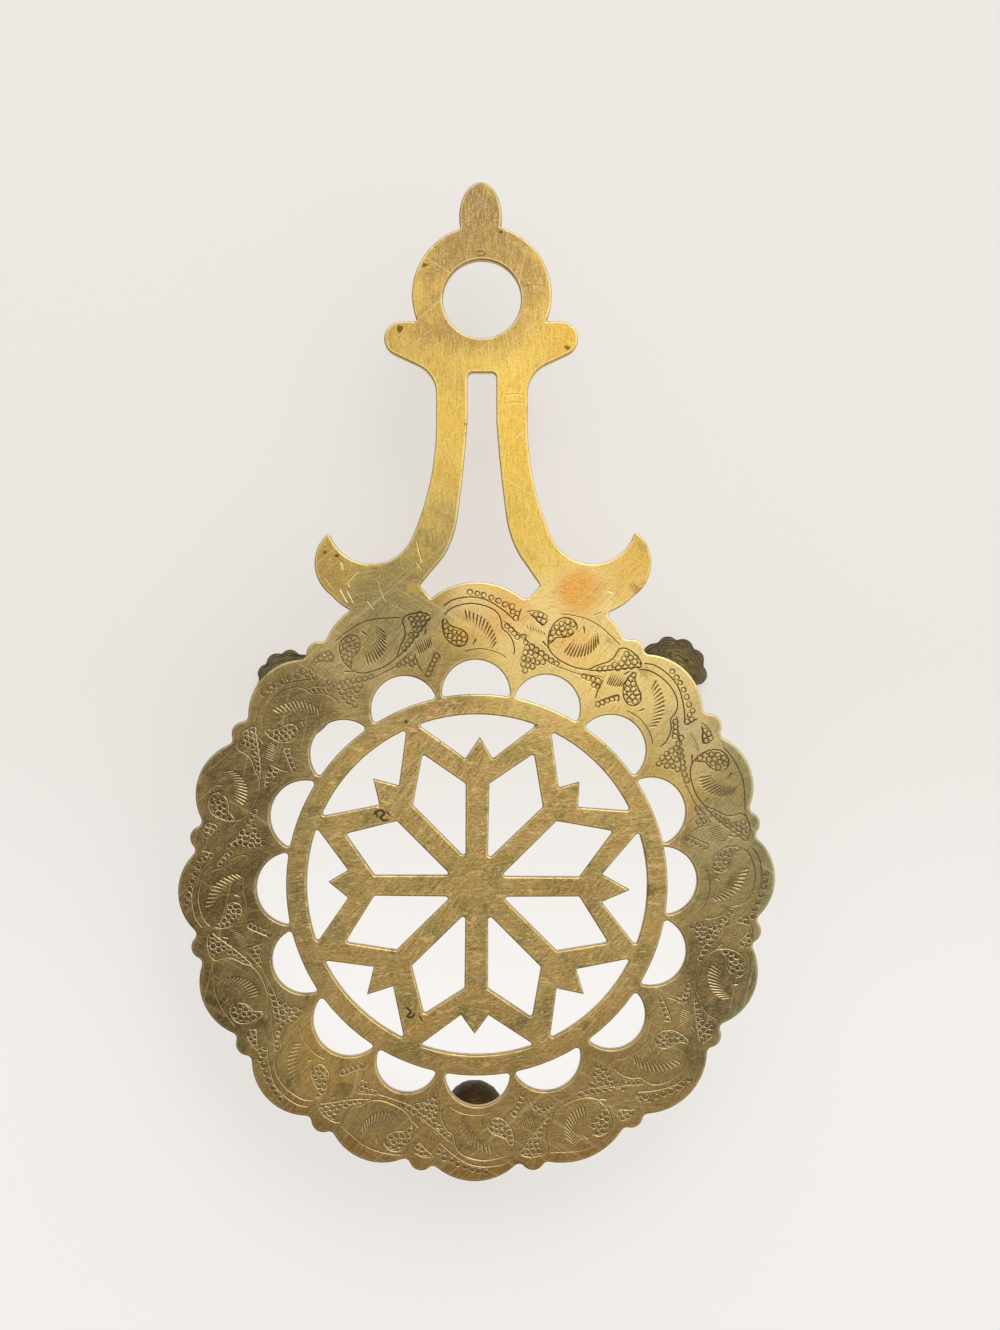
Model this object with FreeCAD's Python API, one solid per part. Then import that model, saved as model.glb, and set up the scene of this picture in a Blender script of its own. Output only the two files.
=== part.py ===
import FreeCAD, Part
import math
import os

# Brass trivet with a hanging handle, on three cast feet.
# All sizes are in millimetres. The trivet lies as it is used: the engraved face is up, the feet
# stand on the table, and the handle points to +Y. Turns are clockwise from +Y, seen from above.

vec = FreeCAD.Vector

# Whole trivet
stand_height = 36.0
plate_thickness = 3.0
cut_overrun = 1.0
full_turn = 360

# Scalloped rim: large lobes with a small nub between each pair. The plate's other radii are
# shares of the rim's reach, so that a larger plate keeps its pattern
lobe_count = 16
rim_reach = 89.1
lobe_radius_share = 0.1863
nub_reach_share = 0.9764
nub_radius_share = 0.0404
valley_radius_share = 0.0202
lobe_radius = rim_reach * lobe_radius_share
nub_reach = rim_reach * nub_reach_share
nub_radius = rim_reach * nub_radius_share
valley_radius = rim_reach * valley_radius_share
lobe_reach_shares = (1.011, 1.004, 1.0, 0.995, 1.0, 0.998, 1.003, 0.992,
                     0.998, 1.0, 1.007, 1.0, 1.002, 0.999, 0.996, 1.012)
lobe_radius_shares = (1.3, 1.1, 1.03, 0.98, 0.94, 1.0, 1.15, 1.3, 1.07, 1.0, 1.0, 1.0, 0.96, 0.98, 1.0, 1.1)
lobe_turns = (0, 0, -0.5, -1.0, -1.3, -1.2, 0, 0.3, 0.5, 0.4, -1.2, -1.4, -1.9, -1.1, -0.8, -0.4)
nub_reach_shares = (1.0, 1.0, 1.006, 0.994, 0.99, 0.994, 0.998, 1.003,
                    1.004, 1.01, 1.0, 1.005, 0.997, 0.993, 1.0, 1.0)
nub_turns = (0, 0, -0.3, -1.2, -1.4, -0.6, 0.2, -0.3, 0.2, -0.8, -1.2, -1.8, -1.8, -1.0, -0.8, -0.2)

# Flat ring round the star, and the half-moon openings outside it
ring_inner_share = 0.5713
ring_outer_share = 0.6397
lunette_reach_share = 0.7441
lunette_radius_share = 0.1145
ring_inner_radius = rim_reach * ring_inner_share
ring_outer_radius = rim_reach * ring_outer_share
lunette_reach = rim_reach * lunette_reach_share
lunette_radius = rim_reach * lunette_radius_share
ring_drop = 0.4
lunette_corner = 1.0
lunette_reach_shares = (1.008, 1.0, 1.01, 1.004, 0.992, 1.0, 1.002, 0.996,
                        1.005, 1.004, 1.007, 0.998, 0.995, 0.99, 0.99, 1.0)
lunette_radius_shares = (1.0, 0.99, 1.03, 1.01, 1.0, 1.02, 1.0, 1.03,
                         0.95, 0.9, 1.06, 0.98, 1.07, 1.05, 1.0, 0.99)
lunette_turns = (-0.3, -0.9, 0.1, 0.2, -0.8, -1.3, -0.5, 0.9, -0.2, -1.2, -2.0, -1.7, -1.6, -1.1, -0.8, -0.1)

# Eight-rayed star inside the ring, set a little low and turned a little by hand. Its radii are
# shares of the ring's, and its other widths are shares of the spokes'
ray_count = 8
star_drop = 0.8
star_turn = 0.35
spoke_width = 6.5
spoke_width_shares = (1.1, 0.9, 0.9, 1.03, 1.09, 1.01, 0.94, 1.03)
fork_share = 0.6012
kite_tip_share = 0.8389
fork_radius = ring_inner_radius * fork_share
kite_tip_radius = ring_inner_radius * kite_tip_share
kite_tip_shares = (1.01, 1.03, 1.0, 1.0, 0.97, 1.0, 0.99, 1.0)
arm_turns = (0.4, 0.2, 0.5, -0.5, -0.4, -1.0, -1.2, -0.2)
arm_end_share = 0.7231
arm_end_width = spoke_width * arm_end_share
arm_end_shares = (1.0, 1.4, 0.85, 1.05, 1.05, 1.2, 0.75, 0.8)
arrow_base_share = 0.7485
arrow_base_radius = ring_inner_radius * arrow_base_share
arrow_base_shares = (1.0, 1.0, 0.98, 1.01, 1.01, 1.02, 1.01, 0.99)
arrow_right_share = 0.6923
arrow_left_share = 0.5692
arrow_tip_share = 0.8802
arrow_right_width = spoke_width * arrow_right_share
arrow_left_width = spoke_width * arrow_left_share
arrow_tip_radius = ring_inner_radius * arrow_tip_share
arrow_tip_shares = (0.995, 0.975, 1.02, 1.015, 0.985, 1.03, 0.99, 0.995)
arrow_tip_turns = (0.8, -0.8, 1.1, -0.1, 0.5, 0, 1.3, 0.6)
star_corner = 0.7

# Handle, cut from the same plate, a little to the right of the plate's own axis. Its heights
# are from the plate's centre: the horns follow the rim, the ears and finial follow the eye, and
# what lies between is at a share of the handle's length from the rim to the eye
handle_offset = 1.5
handle_length = 85.4
handle_root_inset = 17.1
handle_root_half_width = 36.0
handle_foot_inset = 8.1
handle_foot_half_width = 38.1
horn_radius = 11.9
horn_tip_radius = 0.8
horn_foot_bulge = 0.5
horn_across = 38.7
horn_rise = 6.6
horn_left_share = 0.985
horn_foot_angle = -55
bay_radius = 13.2
bay_across = 33.0
bay_height_share = 0.2283
neck_half_width = 13.7
neck_bend_share = 0.5609
neck_corner = 9.3
ear_across = 24.0
ear_drop = 11.8
ear_right_share = 0.98
ear_radius = 5.2
ear_slope = 25
eye_hole_radius = 11.7
eye_outer_radius = 20.9
eye_outer_lift = 1.3
finial_rise = 24.5
finial_offset = -0.4
eye_height = rim_reach + handle_length
handle_root_height = rim_reach - handle_root_inset
handle_foot_height = rim_reach - handle_foot_inset
horn_height = rim_reach + horn_rise
bay_height = rim_reach + handle_length * bay_height_share
neck_bend_height = rim_reach + handle_length * neck_bend_share
ear_height = eye_height - ear_drop
finial_height = eye_height + finial_rise
finial_half_width = 6.4
finial_half_length = 10.4

# Slot between the two legs of the handle: its top follows the eye, its foot follows the rim
slot_top_drop = 22.0
slot_half_width = 4.3
slot_corner = 1.5
slot_straight = 14.5
slot_foot_inset = 7.1
slot_foot_half_width = 11.6
slot_flare_share = 0.7143
slot_flare_half_width = 5.7
slot_waist_share = 0.4732
slot_waist_half_width = 7.4
slot_knee_share = 0.3768
slot_knee_half_width = 8.8
slot_hip_share = 0.2821
slot_hip_half_width = 11.3
slot_shoulder_share = 0.125
slot_shoulder_half_width = 17.4
slot_left_shoulder_share = 1.07
slot_top_height = eye_height - slot_top_drop
slot_bend_height = slot_top_height - slot_straight
slot_foot_height = rim_reach - slot_foot_inset
slot_rise = slot_bend_height - slot_foot_height
slot_flare_height = slot_foot_height + slot_rise * slot_flare_share
slot_waist_height = slot_foot_height + slot_rise * slot_waist_share
slot_knee_height = slot_foot_height + slot_rise * slot_knee_share
slot_hip_height = slot_foot_height + slot_rise * slot_hip_share
slot_shoulder_height = slot_foot_height + slot_rise * slot_shoulder_share

# Cast foot: a pad under the rim, a waisted leg, a round heel and five toes with knuckles
foot_turns = (45, 180, 315)
foot_names = ("foot_right", "foot_front", "foot_left")
foot_outset_shares = (1.012, 1.0, 0.985)
foot_reach_share = 0.8754
foot_radius = rim_reach * foot_reach_share
pad_radius = 7.6
pad_thickness = 2.4
leg_top_radius = 6.2
waist_radius = 4.7
waist_height_share = 0.6
ankle_radius = 7.4
ankle_height = 14.0
heel_radius = 9.4
heel_inset = 2.0
heel_height = 8.7
palm_radius = 8.2
palm_outset = 5.0
palm_height = 6.5
instep_radius = 5.2
instep_outset = 1.5
instep_height = 12.5
toe_count = 5
toe_turn = 36
toe_radius = 3.6
toe_height = 3.2
toe_spread = 7.9
toe_root_outset = 8.6
knuckle_radius = 3.7
knuckle_height = 8.2
knuckle_spread = 4.2

# Shank on each foot, peened into a countersunk hole in the plate and dressed flush
shank_radius = 2.5
shank_head_radius = 3.7
shank_gap = 0.05


def polar(radius, turn):
    """A point at a clockwise turn from +Y, in degrees."""
    angle = math.radians(turn)
    return vec(radius * math.sin(angle), radius * math.cos(angle), 0)


def meet(first, first_radius, second, second_radius, side):
    """Where two circles cross. Side 1 is left of the way from the first centre to the second."""
    way = second - first
    span = way.Length
    along = (first_radius ** 2 - second_radius ** 2 + span ** 2) / (2 * span)
    aside = math.sqrt(first_radius ** 2 - along ** 2)
    way.normalize()
    left = vec(-way.y, way.x, 0)
    return first + way * along + left * (side * aside)


def towards(start, goal, distance):
    """The point a distance away from start, on the way to goal."""
    way = goal - start
    way.normalize()
    return start + way * distance


class Path:
    """A flat outline drawn as straight runs and three-point arcs."""

    def __init__(self, start):
        self.start = start
        self.at = start
        self.edges = []

    def line(self, end):
        self.edges.append(Part.LineSegment(self.at, end).toShape())
        self.at = end

    def arc(self, middle, end):
        self.edges.append(Part.Arc(self.at, middle, end).toShape())
        self.at = end

    def arc_about(self, centre, end, bulge):
        """An arc about a centre. It passes the side of the centre that bulge lies on."""
        radius = (self.at - centre).Length
        self.arc(towards(centre, bulge, radius), end)

    def closed(self):
        if (self.at - self.start).Length > 0:
            self.line(self.start)
        return Part.Wire(self.edges)


def slab(wire, bottom, top):
    """The solid between two heights whose outline is the wire."""
    face = Part.Face(wire)
    face.translate(vec(0, 0, bottom))
    return face.extrude(vec(0, 0, top - bottom))


def disc(centre, radius, bottom, top):
    return Part.makeCylinder(radius, top - bottom, vec(centre.x, centre.y, bottom))


def upright_edges(cutter, centre):
    """The cutter's vertical edges, the one nearest to the centre first."""
    found = []
    for edge in cutter.Edges:
        corner = edge.Vertexes[0]
        if abs(corner.Z - edge.Vertexes[-1].Z) > plate_thickness:
            found.append((math.hypot(corner.X - centre.x, corner.Y - centre.y), edge))
    found.sort(key=lambda entry: entry[0])
    return [entry[1] for entry in found]


plate_top = stand_height
plate_bottom = stand_height - plate_thickness
pad_bottom = plate_bottom - pad_thickness
waist_height = ankle_height + (pad_bottom - ankle_height) * waist_height_share
cut_bottom = plate_bottom - cut_overrun
cut_top = plate_top + cut_overrun
lobe_pitch = full_turn / lobe_count
ray_pitch = full_turn / ray_count
plate_centre = vec(0, 0, 0)
ring_centre = vec(0, -ring_drop, 0)
star_centre = vec(0, -star_drop, 0)


def rim_circles():
    """Lobe and nub circles in turn round the rim, each as a centre and a radius."""
    circles = []
    for k in range(lobe_count):
        radius = lobe_radius * lobe_radius_shares[k]
        reach = rim_reach * lobe_reach_shares[k]
        circles.append((polar(reach - radius, lobe_pitch * k + lobe_turns[k]), radius))
        reach = nub_reach * nub_reach_shares[k]
        turn = lobe_pitch * (k + 1 / 2) + nub_turns[k]
        circles.append((polar(reach - nub_radius, turn), nub_radius))
    return circles


def rim_blank():
    """The scalloped disc, before its openings are cut."""
    circles = rim_circles()
    valleys = []
    for k in range(len(circles)):
        centre, radius = circles[k]
        next_centre, next_radius = circles[(k + 1) % len(circles)]
        valleys.append(meet(centre, radius + valley_radius, next_centre, next_radius + valley_radius, 1))
    first_centre = circles[0][0]
    path = Path(towards(valleys[-1], first_centre, valley_radius))
    for k in range(len(circles)):
        centre, radius = circles[k]
        next_centre = circles[(k + 1) % len(circles)][0]
        valley = valleys[k]
        leave = towards(valley, centre, valley_radius)
        join = towards(valley, next_centre, valley_radius)
        path.arc(centre + polar(radius, math.degrees(math.atan2(centre.x, centre.y))), leave)
        last = k == len(circles) - 1
        path.arc_about(valley, path.start if last else join, (leave + join) / 2)
    return slab(path.closed(), plate_bottom, plate_top)


def lunette_cutter(k):
    """One half-moon opening: its straight side follows the ring, its round side the rim."""
    radius = lunette_radius * lunette_radius_shares[k]
    reach = lunette_reach * lunette_reach_shares[k]
    centre = polar(reach - radius, lobe_pitch * k + lunette_turns[k])
    moon = disc(centre, radius, cut_bottom, cut_top)
    cutter = moon.cut(disc(ring_centre, ring_outer_radius, cut_bottom, cut_top))
    return cutter.makeFillet(lunette_corner, upright_edges(cutter, ring_centre)[:2])


def on_ray(along, across, turn):
    """A point at a distance along a ray of the star and aside from it, clockwise."""
    return star_centre + polar(along, turn + star_turn) + polar(across, turn + star_turn + 90)


def kite_cutter(k):
    """The four-cornered opening between two spokes, closed outside by their forked arms."""
    first = spoke_width * spoke_width_shares[k] / 2
    second = spoke_width * spoke_width_shares[(k + 1) % ray_count] / 2
    turn = ray_pitch * k
    middle = turn + ray_pitch / 2
    path = Path(on_ray((first + second) / 2 / math.sin(math.radians(ray_pitch / 2)), 0, middle))
    path.line(on_ray(fork_radius, first, turn))
    path.line(on_ray(kite_tip_radius * kite_tip_shares[k], 0, middle + arm_turns[k]))
    path.line(on_ray(fork_radius, -second, turn + ray_pitch))
    cutter = slab(path.closed(), cut_bottom, cut_top)
    return cutter.makeFillet(star_corner, upright_edges(cutter, star_centre))


def arm_side(k, side):
    """Where one side of an arm meets the ring. Side 1 is clockwise."""
    half_width = arm_end_width * arm_end_shares[k] / 2
    half_turn = math.degrees(math.asin(half_width / ring_inner_radius))
    return ray_pitch * (k + 1 / 2) + arm_turns[k] + star_turn + side * half_turn


def arrow_cutter(k):
    """The opening at the end of a spoke: ring outside, arms at the sides, arrow tip inside."""
    turn = ray_pitch * k
    start = arm_side((k - 1) % ray_count, 1)
    if k == 0:
        start = start - full_turn
    end = arm_side(k, -1)
    base = arrow_base_radius * arrow_base_shares[k]
    path = Path(ring_centre + polar(ring_inner_radius, start))
    crown = ring_centre + polar(ring_inner_radius, (start + end) / 2)
    path.arc(crown, ring_centre + polar(ring_inner_radius, end))
    path.line(on_ray(base, arrow_right_width, turn))
    path.line(on_ray(arrow_tip_radius * arrow_tip_shares[k], 0, turn + arrow_tip_turns[k]))
    path.line(on_ray(base, -arrow_left_width, turn))
    cutter = slab(path.closed(), cut_bottom, cut_top)
    return cutter.makeFillet(star_corner, upright_edges(cutter, ring_centre)[-2:])


def handle_half(horn_share, ear_share):
    """The right half of the handle's outline, from the root up to the eye, as drawing steps."""
    horn = vec(horn_across * horn_share, horn_height, 0)
    bay = vec(bay_across, bay_height, 0)
    ear = vec(ear_across * ear_share, ear_height, 0)
    handle_foot = vec(handle_foot_half_width, handle_foot_height, 0)
    horn_foot = horn + polar(horn_radius, 90 - horn_foot_angle)
    foot_way = (horn_foot - handle_foot).normalize()
    foot_bulge = (horn_foot + handle_foot) / 2 + vec(foot_way.y, -foot_way.x, 0) * horn_foot_bulge
    # The horn's point is rounded by a small circle that touches the horn and the bay
    point = meet(horn, horn_radius, bay, bay_radius, -1)
    tip = meet(horn, horn_radius - horn_tip_radius, bay, bay_radius + horn_tip_radius, -1)
    # The leg's outer edge leaves the neck upright and runs into the bay, tangent to both
    aside = neck_half_width - bay_across
    drop = neck_bend_height - bay_height
    bow_radius = (bay_radius ** 2 - aside ** 2 - drop ** 2) / (2 * (aside + bay_radius))
    bow = vec(neck_half_width + bow_radius, neck_bend_height, 0)
    bow_end = bay + (bay - bow) * (bay_radius / (bay - bow).Length)
    # The neck corner touches the upright neck and the ear's sloping underside
    slope = math.radians(ear_slope)
    ear_under = ear + vec(math.sin(slope), -math.cos(slope), 0) * ear_radius
    corner_across = neck_half_width + neck_corner
    under_height = ear_under.y + (corner_across - ear_under.x) * math.tan(slope)
    corner = vec(corner_across, under_height - neck_corner / math.cos(slope), 0)
    corner_end = corner + vec(-math.sin(slope), math.cos(slope), 0) * neck_corner
    return [
        ("line", vec(handle_root_half_width, handle_root_height, 0)),
        ("line", handle_foot),
        ("arc", foot_bulge, horn_foot),
        ("arc", horn + vec(horn_radius, 0, 0), towards(horn, tip, horn_radius)),
        ("arc", towards(tip, point, horn_tip_radius), towards(bay, tip, bay_radius)),
        ("arc", bay - vec(0, bay_radius, 0), bow_end),
        ("arc", towards(bow, (bow_end + vec(neck_half_width, neck_bend_height, 0)) / 2, bow_radius),
         vec(neck_half_width, neck_bend_height, 0)),
        ("line", vec(neck_half_width, corner.y, 0)),
        ("arc", towards(corner, vec(neck_half_width, corner_end.y, 0), neck_corner), corner_end),
        ("line", ear_under),
        ("arc", ear + vec(ear_radius, 0, 0), ear + vec(0, ear_radius, 0)),
        ("line", vec(eye_hole_radius, ear_height + ear_radius, 0)),
    ]


def slot_half(shoulder_share):
    """The right half of the slot's outline, from its foot up to its top corner."""
    corner_height = slot_top_height - slot_corner
    return [
        ("line", vec(slot_foot_half_width * shoulder_share, slot_foot_height, 0)),
        ("line", vec(slot_shoulder_half_width * shoulder_share, slot_shoulder_height, 0)),
        ("line", vec(slot_hip_half_width, slot_hip_height, 0)),
        ("arc", vec(slot_knee_half_width, slot_knee_height, 0), vec(slot_waist_half_width, slot_waist_height, 0)),
        ("arc", vec(slot_flare_half_width, slot_flare_height, 0), vec(slot_half_width, slot_bend_height, 0)),
        ("line", vec(slot_half_width, corner_height, 0)),
        ("arc", vec(slot_half_width - slot_corner, corner_height, 0) + polar(slot_corner, 45),
         vec(slot_half_width - slot_corner, slot_top_height, 0)),
    ]


def mirror(point):
    return vec(-point.x, point.y, 0)


def two_sided_outline(right, left):
    """An outline made of the right half's steps, then the left half's, mirrored."""
    path = Path(vec(0, right[0][-1].y, 0))
    for step in right:
        if step[0] == "line":
            path.line(step[1])
        else:
            path.arc(step[1], step[2])
    ends = [mirror(step[-1]) for step in left]
    path.line(ends[-1])
    for k in range(len(left) - 1, 0, -1):
        if left[k][0] == "line":
            path.line(ends[k - 1])
        else:
            path.arc(mirror(left[k][1]), ends[k - 1])
    return path.closed()


def handle_blank():
    """The handle with its eye and slot, about the plate's axis, before it is set over."""
    eye = vec(0, eye_height, 0)
    outline = two_sided_outline(handle_half(1, ear_right_share), handle_half(horn_left_share, 1))
    solid = slab(outline, plate_bottom, plate_top)
    solid = solid.fuse(disc(eye + vec(0, eye_outer_lift, 0), eye_outer_radius, plate_bottom, plate_top))
    finial = vec(finial_offset, finial_height, 0)
    oval = Part.Ellipse(finial + vec(0, finial_half_length, 0), finial + vec(finial_half_width, 0, 0), finial)
    solid = solid.fuse(slab(Part.Wire([oval.toShape()]), plate_bottom, plate_top))
    solid = solid.cut(disc(eye, eye_hole_radius, cut_bottom, cut_top))
    slot = two_sided_outline(slot_half(1), slot_half(slot_left_shoulder_share))
    solid = solid.cut(slab(slot, cut_bottom, cut_top))
    solid.translate(vec(handle_offset, 0, 0))
    return solid


def foot_place(k):
    return polar(foot_radius * foot_outset_shares[k], foot_turns[k])


def shank(gap):
    """The shank and its peened head. A gap below zero gives the hole that it sits in."""
    radius = shank_radius - gap
    head_radius = shank_head_radius - gap
    head_depth = shank_head_radius - shank_radius
    solid = Part.makeCylinder(radius, plate_thickness, vec(0, 0, plate_bottom))
    head = Part.makeCone(radius, head_radius, head_depth, vec(0, 0, plate_top - head_depth))
    return solid.fuse(head).removeSplitter()


def plate():
    """The pierced plate and its handle, sawn from one piece of brass."""
    solid = rim_blank().fuse(handle_blank()).removeSplitter()
    cutters = []
    for k in range(lobe_count):
        cutters.append(lunette_cutter(k))
    for k in range(ray_count):
        cutters.append(kite_cutter(k))
        cutters.append(arrow_cutter(k))
    for k in range(len(foot_turns)):
        hole = shank(0)
        hole.translate(foot_place(k))
        cutters.append(hole)
    return solid.cut(cutters)


def cone_between(start, start_radius, end, end_radius):
    way = end - start
    return Part.makeCone(start_radius, end_radius, way.Length, start, way)


def ball(centre, radius):
    return Part.makeSphere(radius, centre)


def limb(places):
    """Balls joined by cones, through a list of centres and radii."""
    solid = ball(*places[0])
    for k in range(1, len(places)):
        solid = solid.fuse(cone_between(*places[k - 1], *places[k]))
        solid = solid.fuse(ball(*places[k]))
    return solid


def leg():
    """Pad and waisted leg, turned about the upright axis."""
    path = Path(vec(0, 0, plate_bottom))
    path.line(vec(pad_radius, 0, plate_bottom))
    path.line(vec(pad_radius, 0, pad_bottom))
    path.line(vec(leg_top_radius, 0, pad_bottom))
    path.arc(vec(waist_radius, 0, waist_height), vec(ankle_radius, 0, ankle_height))
    path.line(vec(0, 0, ankle_height))
    return Part.Face(path.closed()).revolve(plate_centre, vec(0, 0, 1), full_turn)


def foot():
    """One casting: pad, leg, heel, palm and toes, standing at the origin with its toes to +Y."""
    solid = leg().fuse(ball(vec(0, -heel_inset, heel_height), heel_radius))
    solid = solid.fuse(ball(vec(0, palm_outset, palm_height), palm_radius))
    instep = vec(0, instep_outset, instep_height)
    for k in range(toe_count):
        turn = toe_turn * (k - (toe_count - 1) / 2)
        knuckle = vec(0, toe_root_outset, knuckle_height) + polar(knuckle_spread, turn)
        tip = vec(0, toe_root_outset, toe_height) + polar(toe_spread, turn)
        solid = solid.fuse(limb([(instep, instep_radius), (knuckle, knuckle_radius), (tip, toe_radius)]))
    below = disc(plate_centre, foot_radius, -heel_radius, 0)
    return solid.cut(below).fuse(shank(shank_gap))


def placed_foot(k):
    solid = foot()
    solid.rotate(plate_centre, vec(0, 0, 1), -foot_turns[k])
    solid.translate(foot_place(k))
    return solid


pieces = {"plate_with_handle": plate()}
for k in range(len(foot_names)):
    pieces[foot_names[k]] = placed_foot(k)

# The origin is on the table under the middle of the trivet's own box
whole = Part.makeCompound(list(pieces.values())).optimalBoundingBox()
shift = vec(-(whole.XMin + whole.XMax) / 2, -(whole.YMin + whole.YMax) / 2, -whole.ZMin)

os.makedirs("parts", exist_ok=True)
for name, shape in pieces.items():
    shape.translate(shift)
    shape.exportStep("parts/" + name + ".step")
    print(name, "valid", shape.isValid(), "solids", len(shape.Solids), "volume", round(shape.Volume))
print("shift", round(shift.x, 3), round(shift.y, 3), round(shift.z, 3))
print("whole", round(whole.XLength, 2), round(whole.YLength, 2), round(whole.ZLength, 2))
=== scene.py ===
import math
import bmesh
import bpy
import numpy as np
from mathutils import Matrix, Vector
from mathutils.geometry import delaunay_2d_cdt


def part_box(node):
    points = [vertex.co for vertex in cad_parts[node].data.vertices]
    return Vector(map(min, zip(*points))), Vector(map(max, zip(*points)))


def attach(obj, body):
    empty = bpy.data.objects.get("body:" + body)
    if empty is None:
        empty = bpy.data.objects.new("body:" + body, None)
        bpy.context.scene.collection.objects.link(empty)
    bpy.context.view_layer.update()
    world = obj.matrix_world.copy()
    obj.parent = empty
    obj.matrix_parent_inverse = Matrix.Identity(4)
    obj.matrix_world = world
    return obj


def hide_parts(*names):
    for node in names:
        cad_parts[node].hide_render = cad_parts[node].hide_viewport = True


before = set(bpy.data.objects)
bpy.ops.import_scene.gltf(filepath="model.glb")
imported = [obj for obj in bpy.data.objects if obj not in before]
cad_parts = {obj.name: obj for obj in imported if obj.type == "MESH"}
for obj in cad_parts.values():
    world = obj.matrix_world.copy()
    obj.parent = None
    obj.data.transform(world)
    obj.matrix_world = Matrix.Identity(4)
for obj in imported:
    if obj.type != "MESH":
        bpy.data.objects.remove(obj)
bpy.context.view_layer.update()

# Brass trivet: the pierced and engraved plate, its three cast paw feet, floor, sky, lamp and camera
mm = 0.001
plateNode = "plate_with_handle"
plateLow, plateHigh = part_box(plateNode)
plateTop = plateHigh.z
plateBottom = plateLow.z

middle = {                           # the plate's own middle, from which the engraving is set out
    "x": 0.08 * mm,
    "y": -55.65 * mm,
    "lobes": 16,
    "swingRadius": 78 * mm,          # where a swing along the rim is measured
}


# One output of a node, so that sums on it can be written as sums
class Knot:
    def __init__(self, web, node, output):
        self.web = web
        self.node = node
        self.socket = node.outputs[output] if len(node.outputs) else None

    def part(self, output):          # another output of the same node
        return Knot(self.web, self.node, output)

    def sum(self, kind, first, second):
        return self.web.add("ShaderNodeMath", {"operation": kind}, {0: first, 1: second})

    def __add__(self, other):
        return self.sum("ADD", self, other)

    __radd__ = __add__

    def __sub__(self, other):
        return self.sum("SUBTRACT", self, other)

    def __rsub__(self, other):
        return self.sum("SUBTRACT", other, self)

    def __mul__(self, other):
        return self.sum("MULTIPLY", self, other)

    __rmul__ = __mul__

    def __truediv__(self, other):
        return self.sum("DIVIDE", self, other)

    def __pow__(self, other):
        return self.sum("POWER", self, other)

    def most(self, other):
        return self.sum("MAXIMUM", self, other)

    def rise(self, low, high):       # 0 below low, 1 above high, smooth between
        return self.web.add("ShaderNodeMapRange", {"interpolation_type": "SMOOTHSTEP"},
                            {"Value": self, "From Min": low, "From Max": high})


# A node tree being built, for a finish or for a layout
class Web:
    def __init__(self, tree):
        self.tree = tree
        self.tree.nodes.clear()

    def add(self, kind, settings=None, values=None, out=0):
        node = self.tree.nodes.new(kind)
        for name, value in (settings or {}).items():
            setattr(node, name, value)
        for name, value in (values or {}).items():
            socket = node.inputs[name]
            if isinstance(value, Knot):
                self.tree.links.new(value.socket, socket)
            else:
                socket.default_value = value
        return Knot(self, node, out)

    def mix(self, first, second, share):
        return self.add("ShaderNodeMix", {"data_type": "RGBA"}, {0: share, 6: first, 7: second}, 2)

    def coat(self, colour, brass, layers):  # tones of a finish laid over a colour, one by one
        for name, share in layers:
            colour = self.mix(colour, brass[name], share)
        return colour

    def attribute(self, name):
        return self.add("ShaderNodeAttribute", {"attribute_name": name}, {}, 2)

    def metal(self, colour, roughness, height, strength, deep):
        bump = self.add("ShaderNodeBump", {}, {"Strength": strength, "Distance": deep, "Height": height})
        surface = self.add("ShaderNodeBsdfPrincipled", {}, {
            "Base Color": colour, "Metallic": 1.0, "Roughness": roughness, "Normal": bump})
        self.add("ShaderNodeOutputMaterial", {}, {"Surface": surface})

    def join(self, parts):
        joined = self.add("GeometryNodeJoinGeometry")
        for part in parts:
            self.tree.links.new(part.socket, joined.node.inputs[0])
        return joined

    def noise(self, place, scale, detail=3.0, rough=0.5, warp=0.0, stretch=(1, 1, 1), turn=0.0):
        spot = self.add("ShaderNodeMapping", {"vector_type": "TEXTURE"}, {
            "Vector": place, "Rotation": (0, 0, turn), "Scale": stretch})
        return self.add("ShaderNodeTexNoise", {"noise_dimensions": "3D"},
                        {"Vector": spot, "Scale": scale, "Detail": detail, "Roughness": rough,
                         "Distortion": warp})


def tone(red, green, blue):          # a colour as a screen shows it, from 0 to 255
    levels = [level / 255 for level in (red, green, blue)]
    linear = [level / 12.92 if level <= 0.04045 else ((level + 0.055) / 1.055) ** 2.4 for level in levels]
    return (*linear, 1)


def newFinish(name):
    material = bpy.data.materials.new(name)
    material.use_nodes = True
    return material, Web(material.node_tree)


def newMesh(name, points, faces, edges=()):
    mesh = bpy.data.meshes.new(name)
    mesh.from_pydata(points, edges, faces)
    mesh.update()
    return mesh


def setValues(mesh, name, values):   # one number for each point
    layer = mesh.attributes.new(name, "FLOAT", "POINT")
    layer.data.foreach_set("value", values)


def newPiece(name, mesh):
    piece = bpy.data.objects.new(name, mesh)
    bpy.context.scene.collection.objects.link(piece)
    return piece


def levelSpan(across, along, east, north):  # how far a spot is from a place, seen from above
    return ((across - east) ** 2 + (along - north) ** 2) ** 0.5


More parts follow.
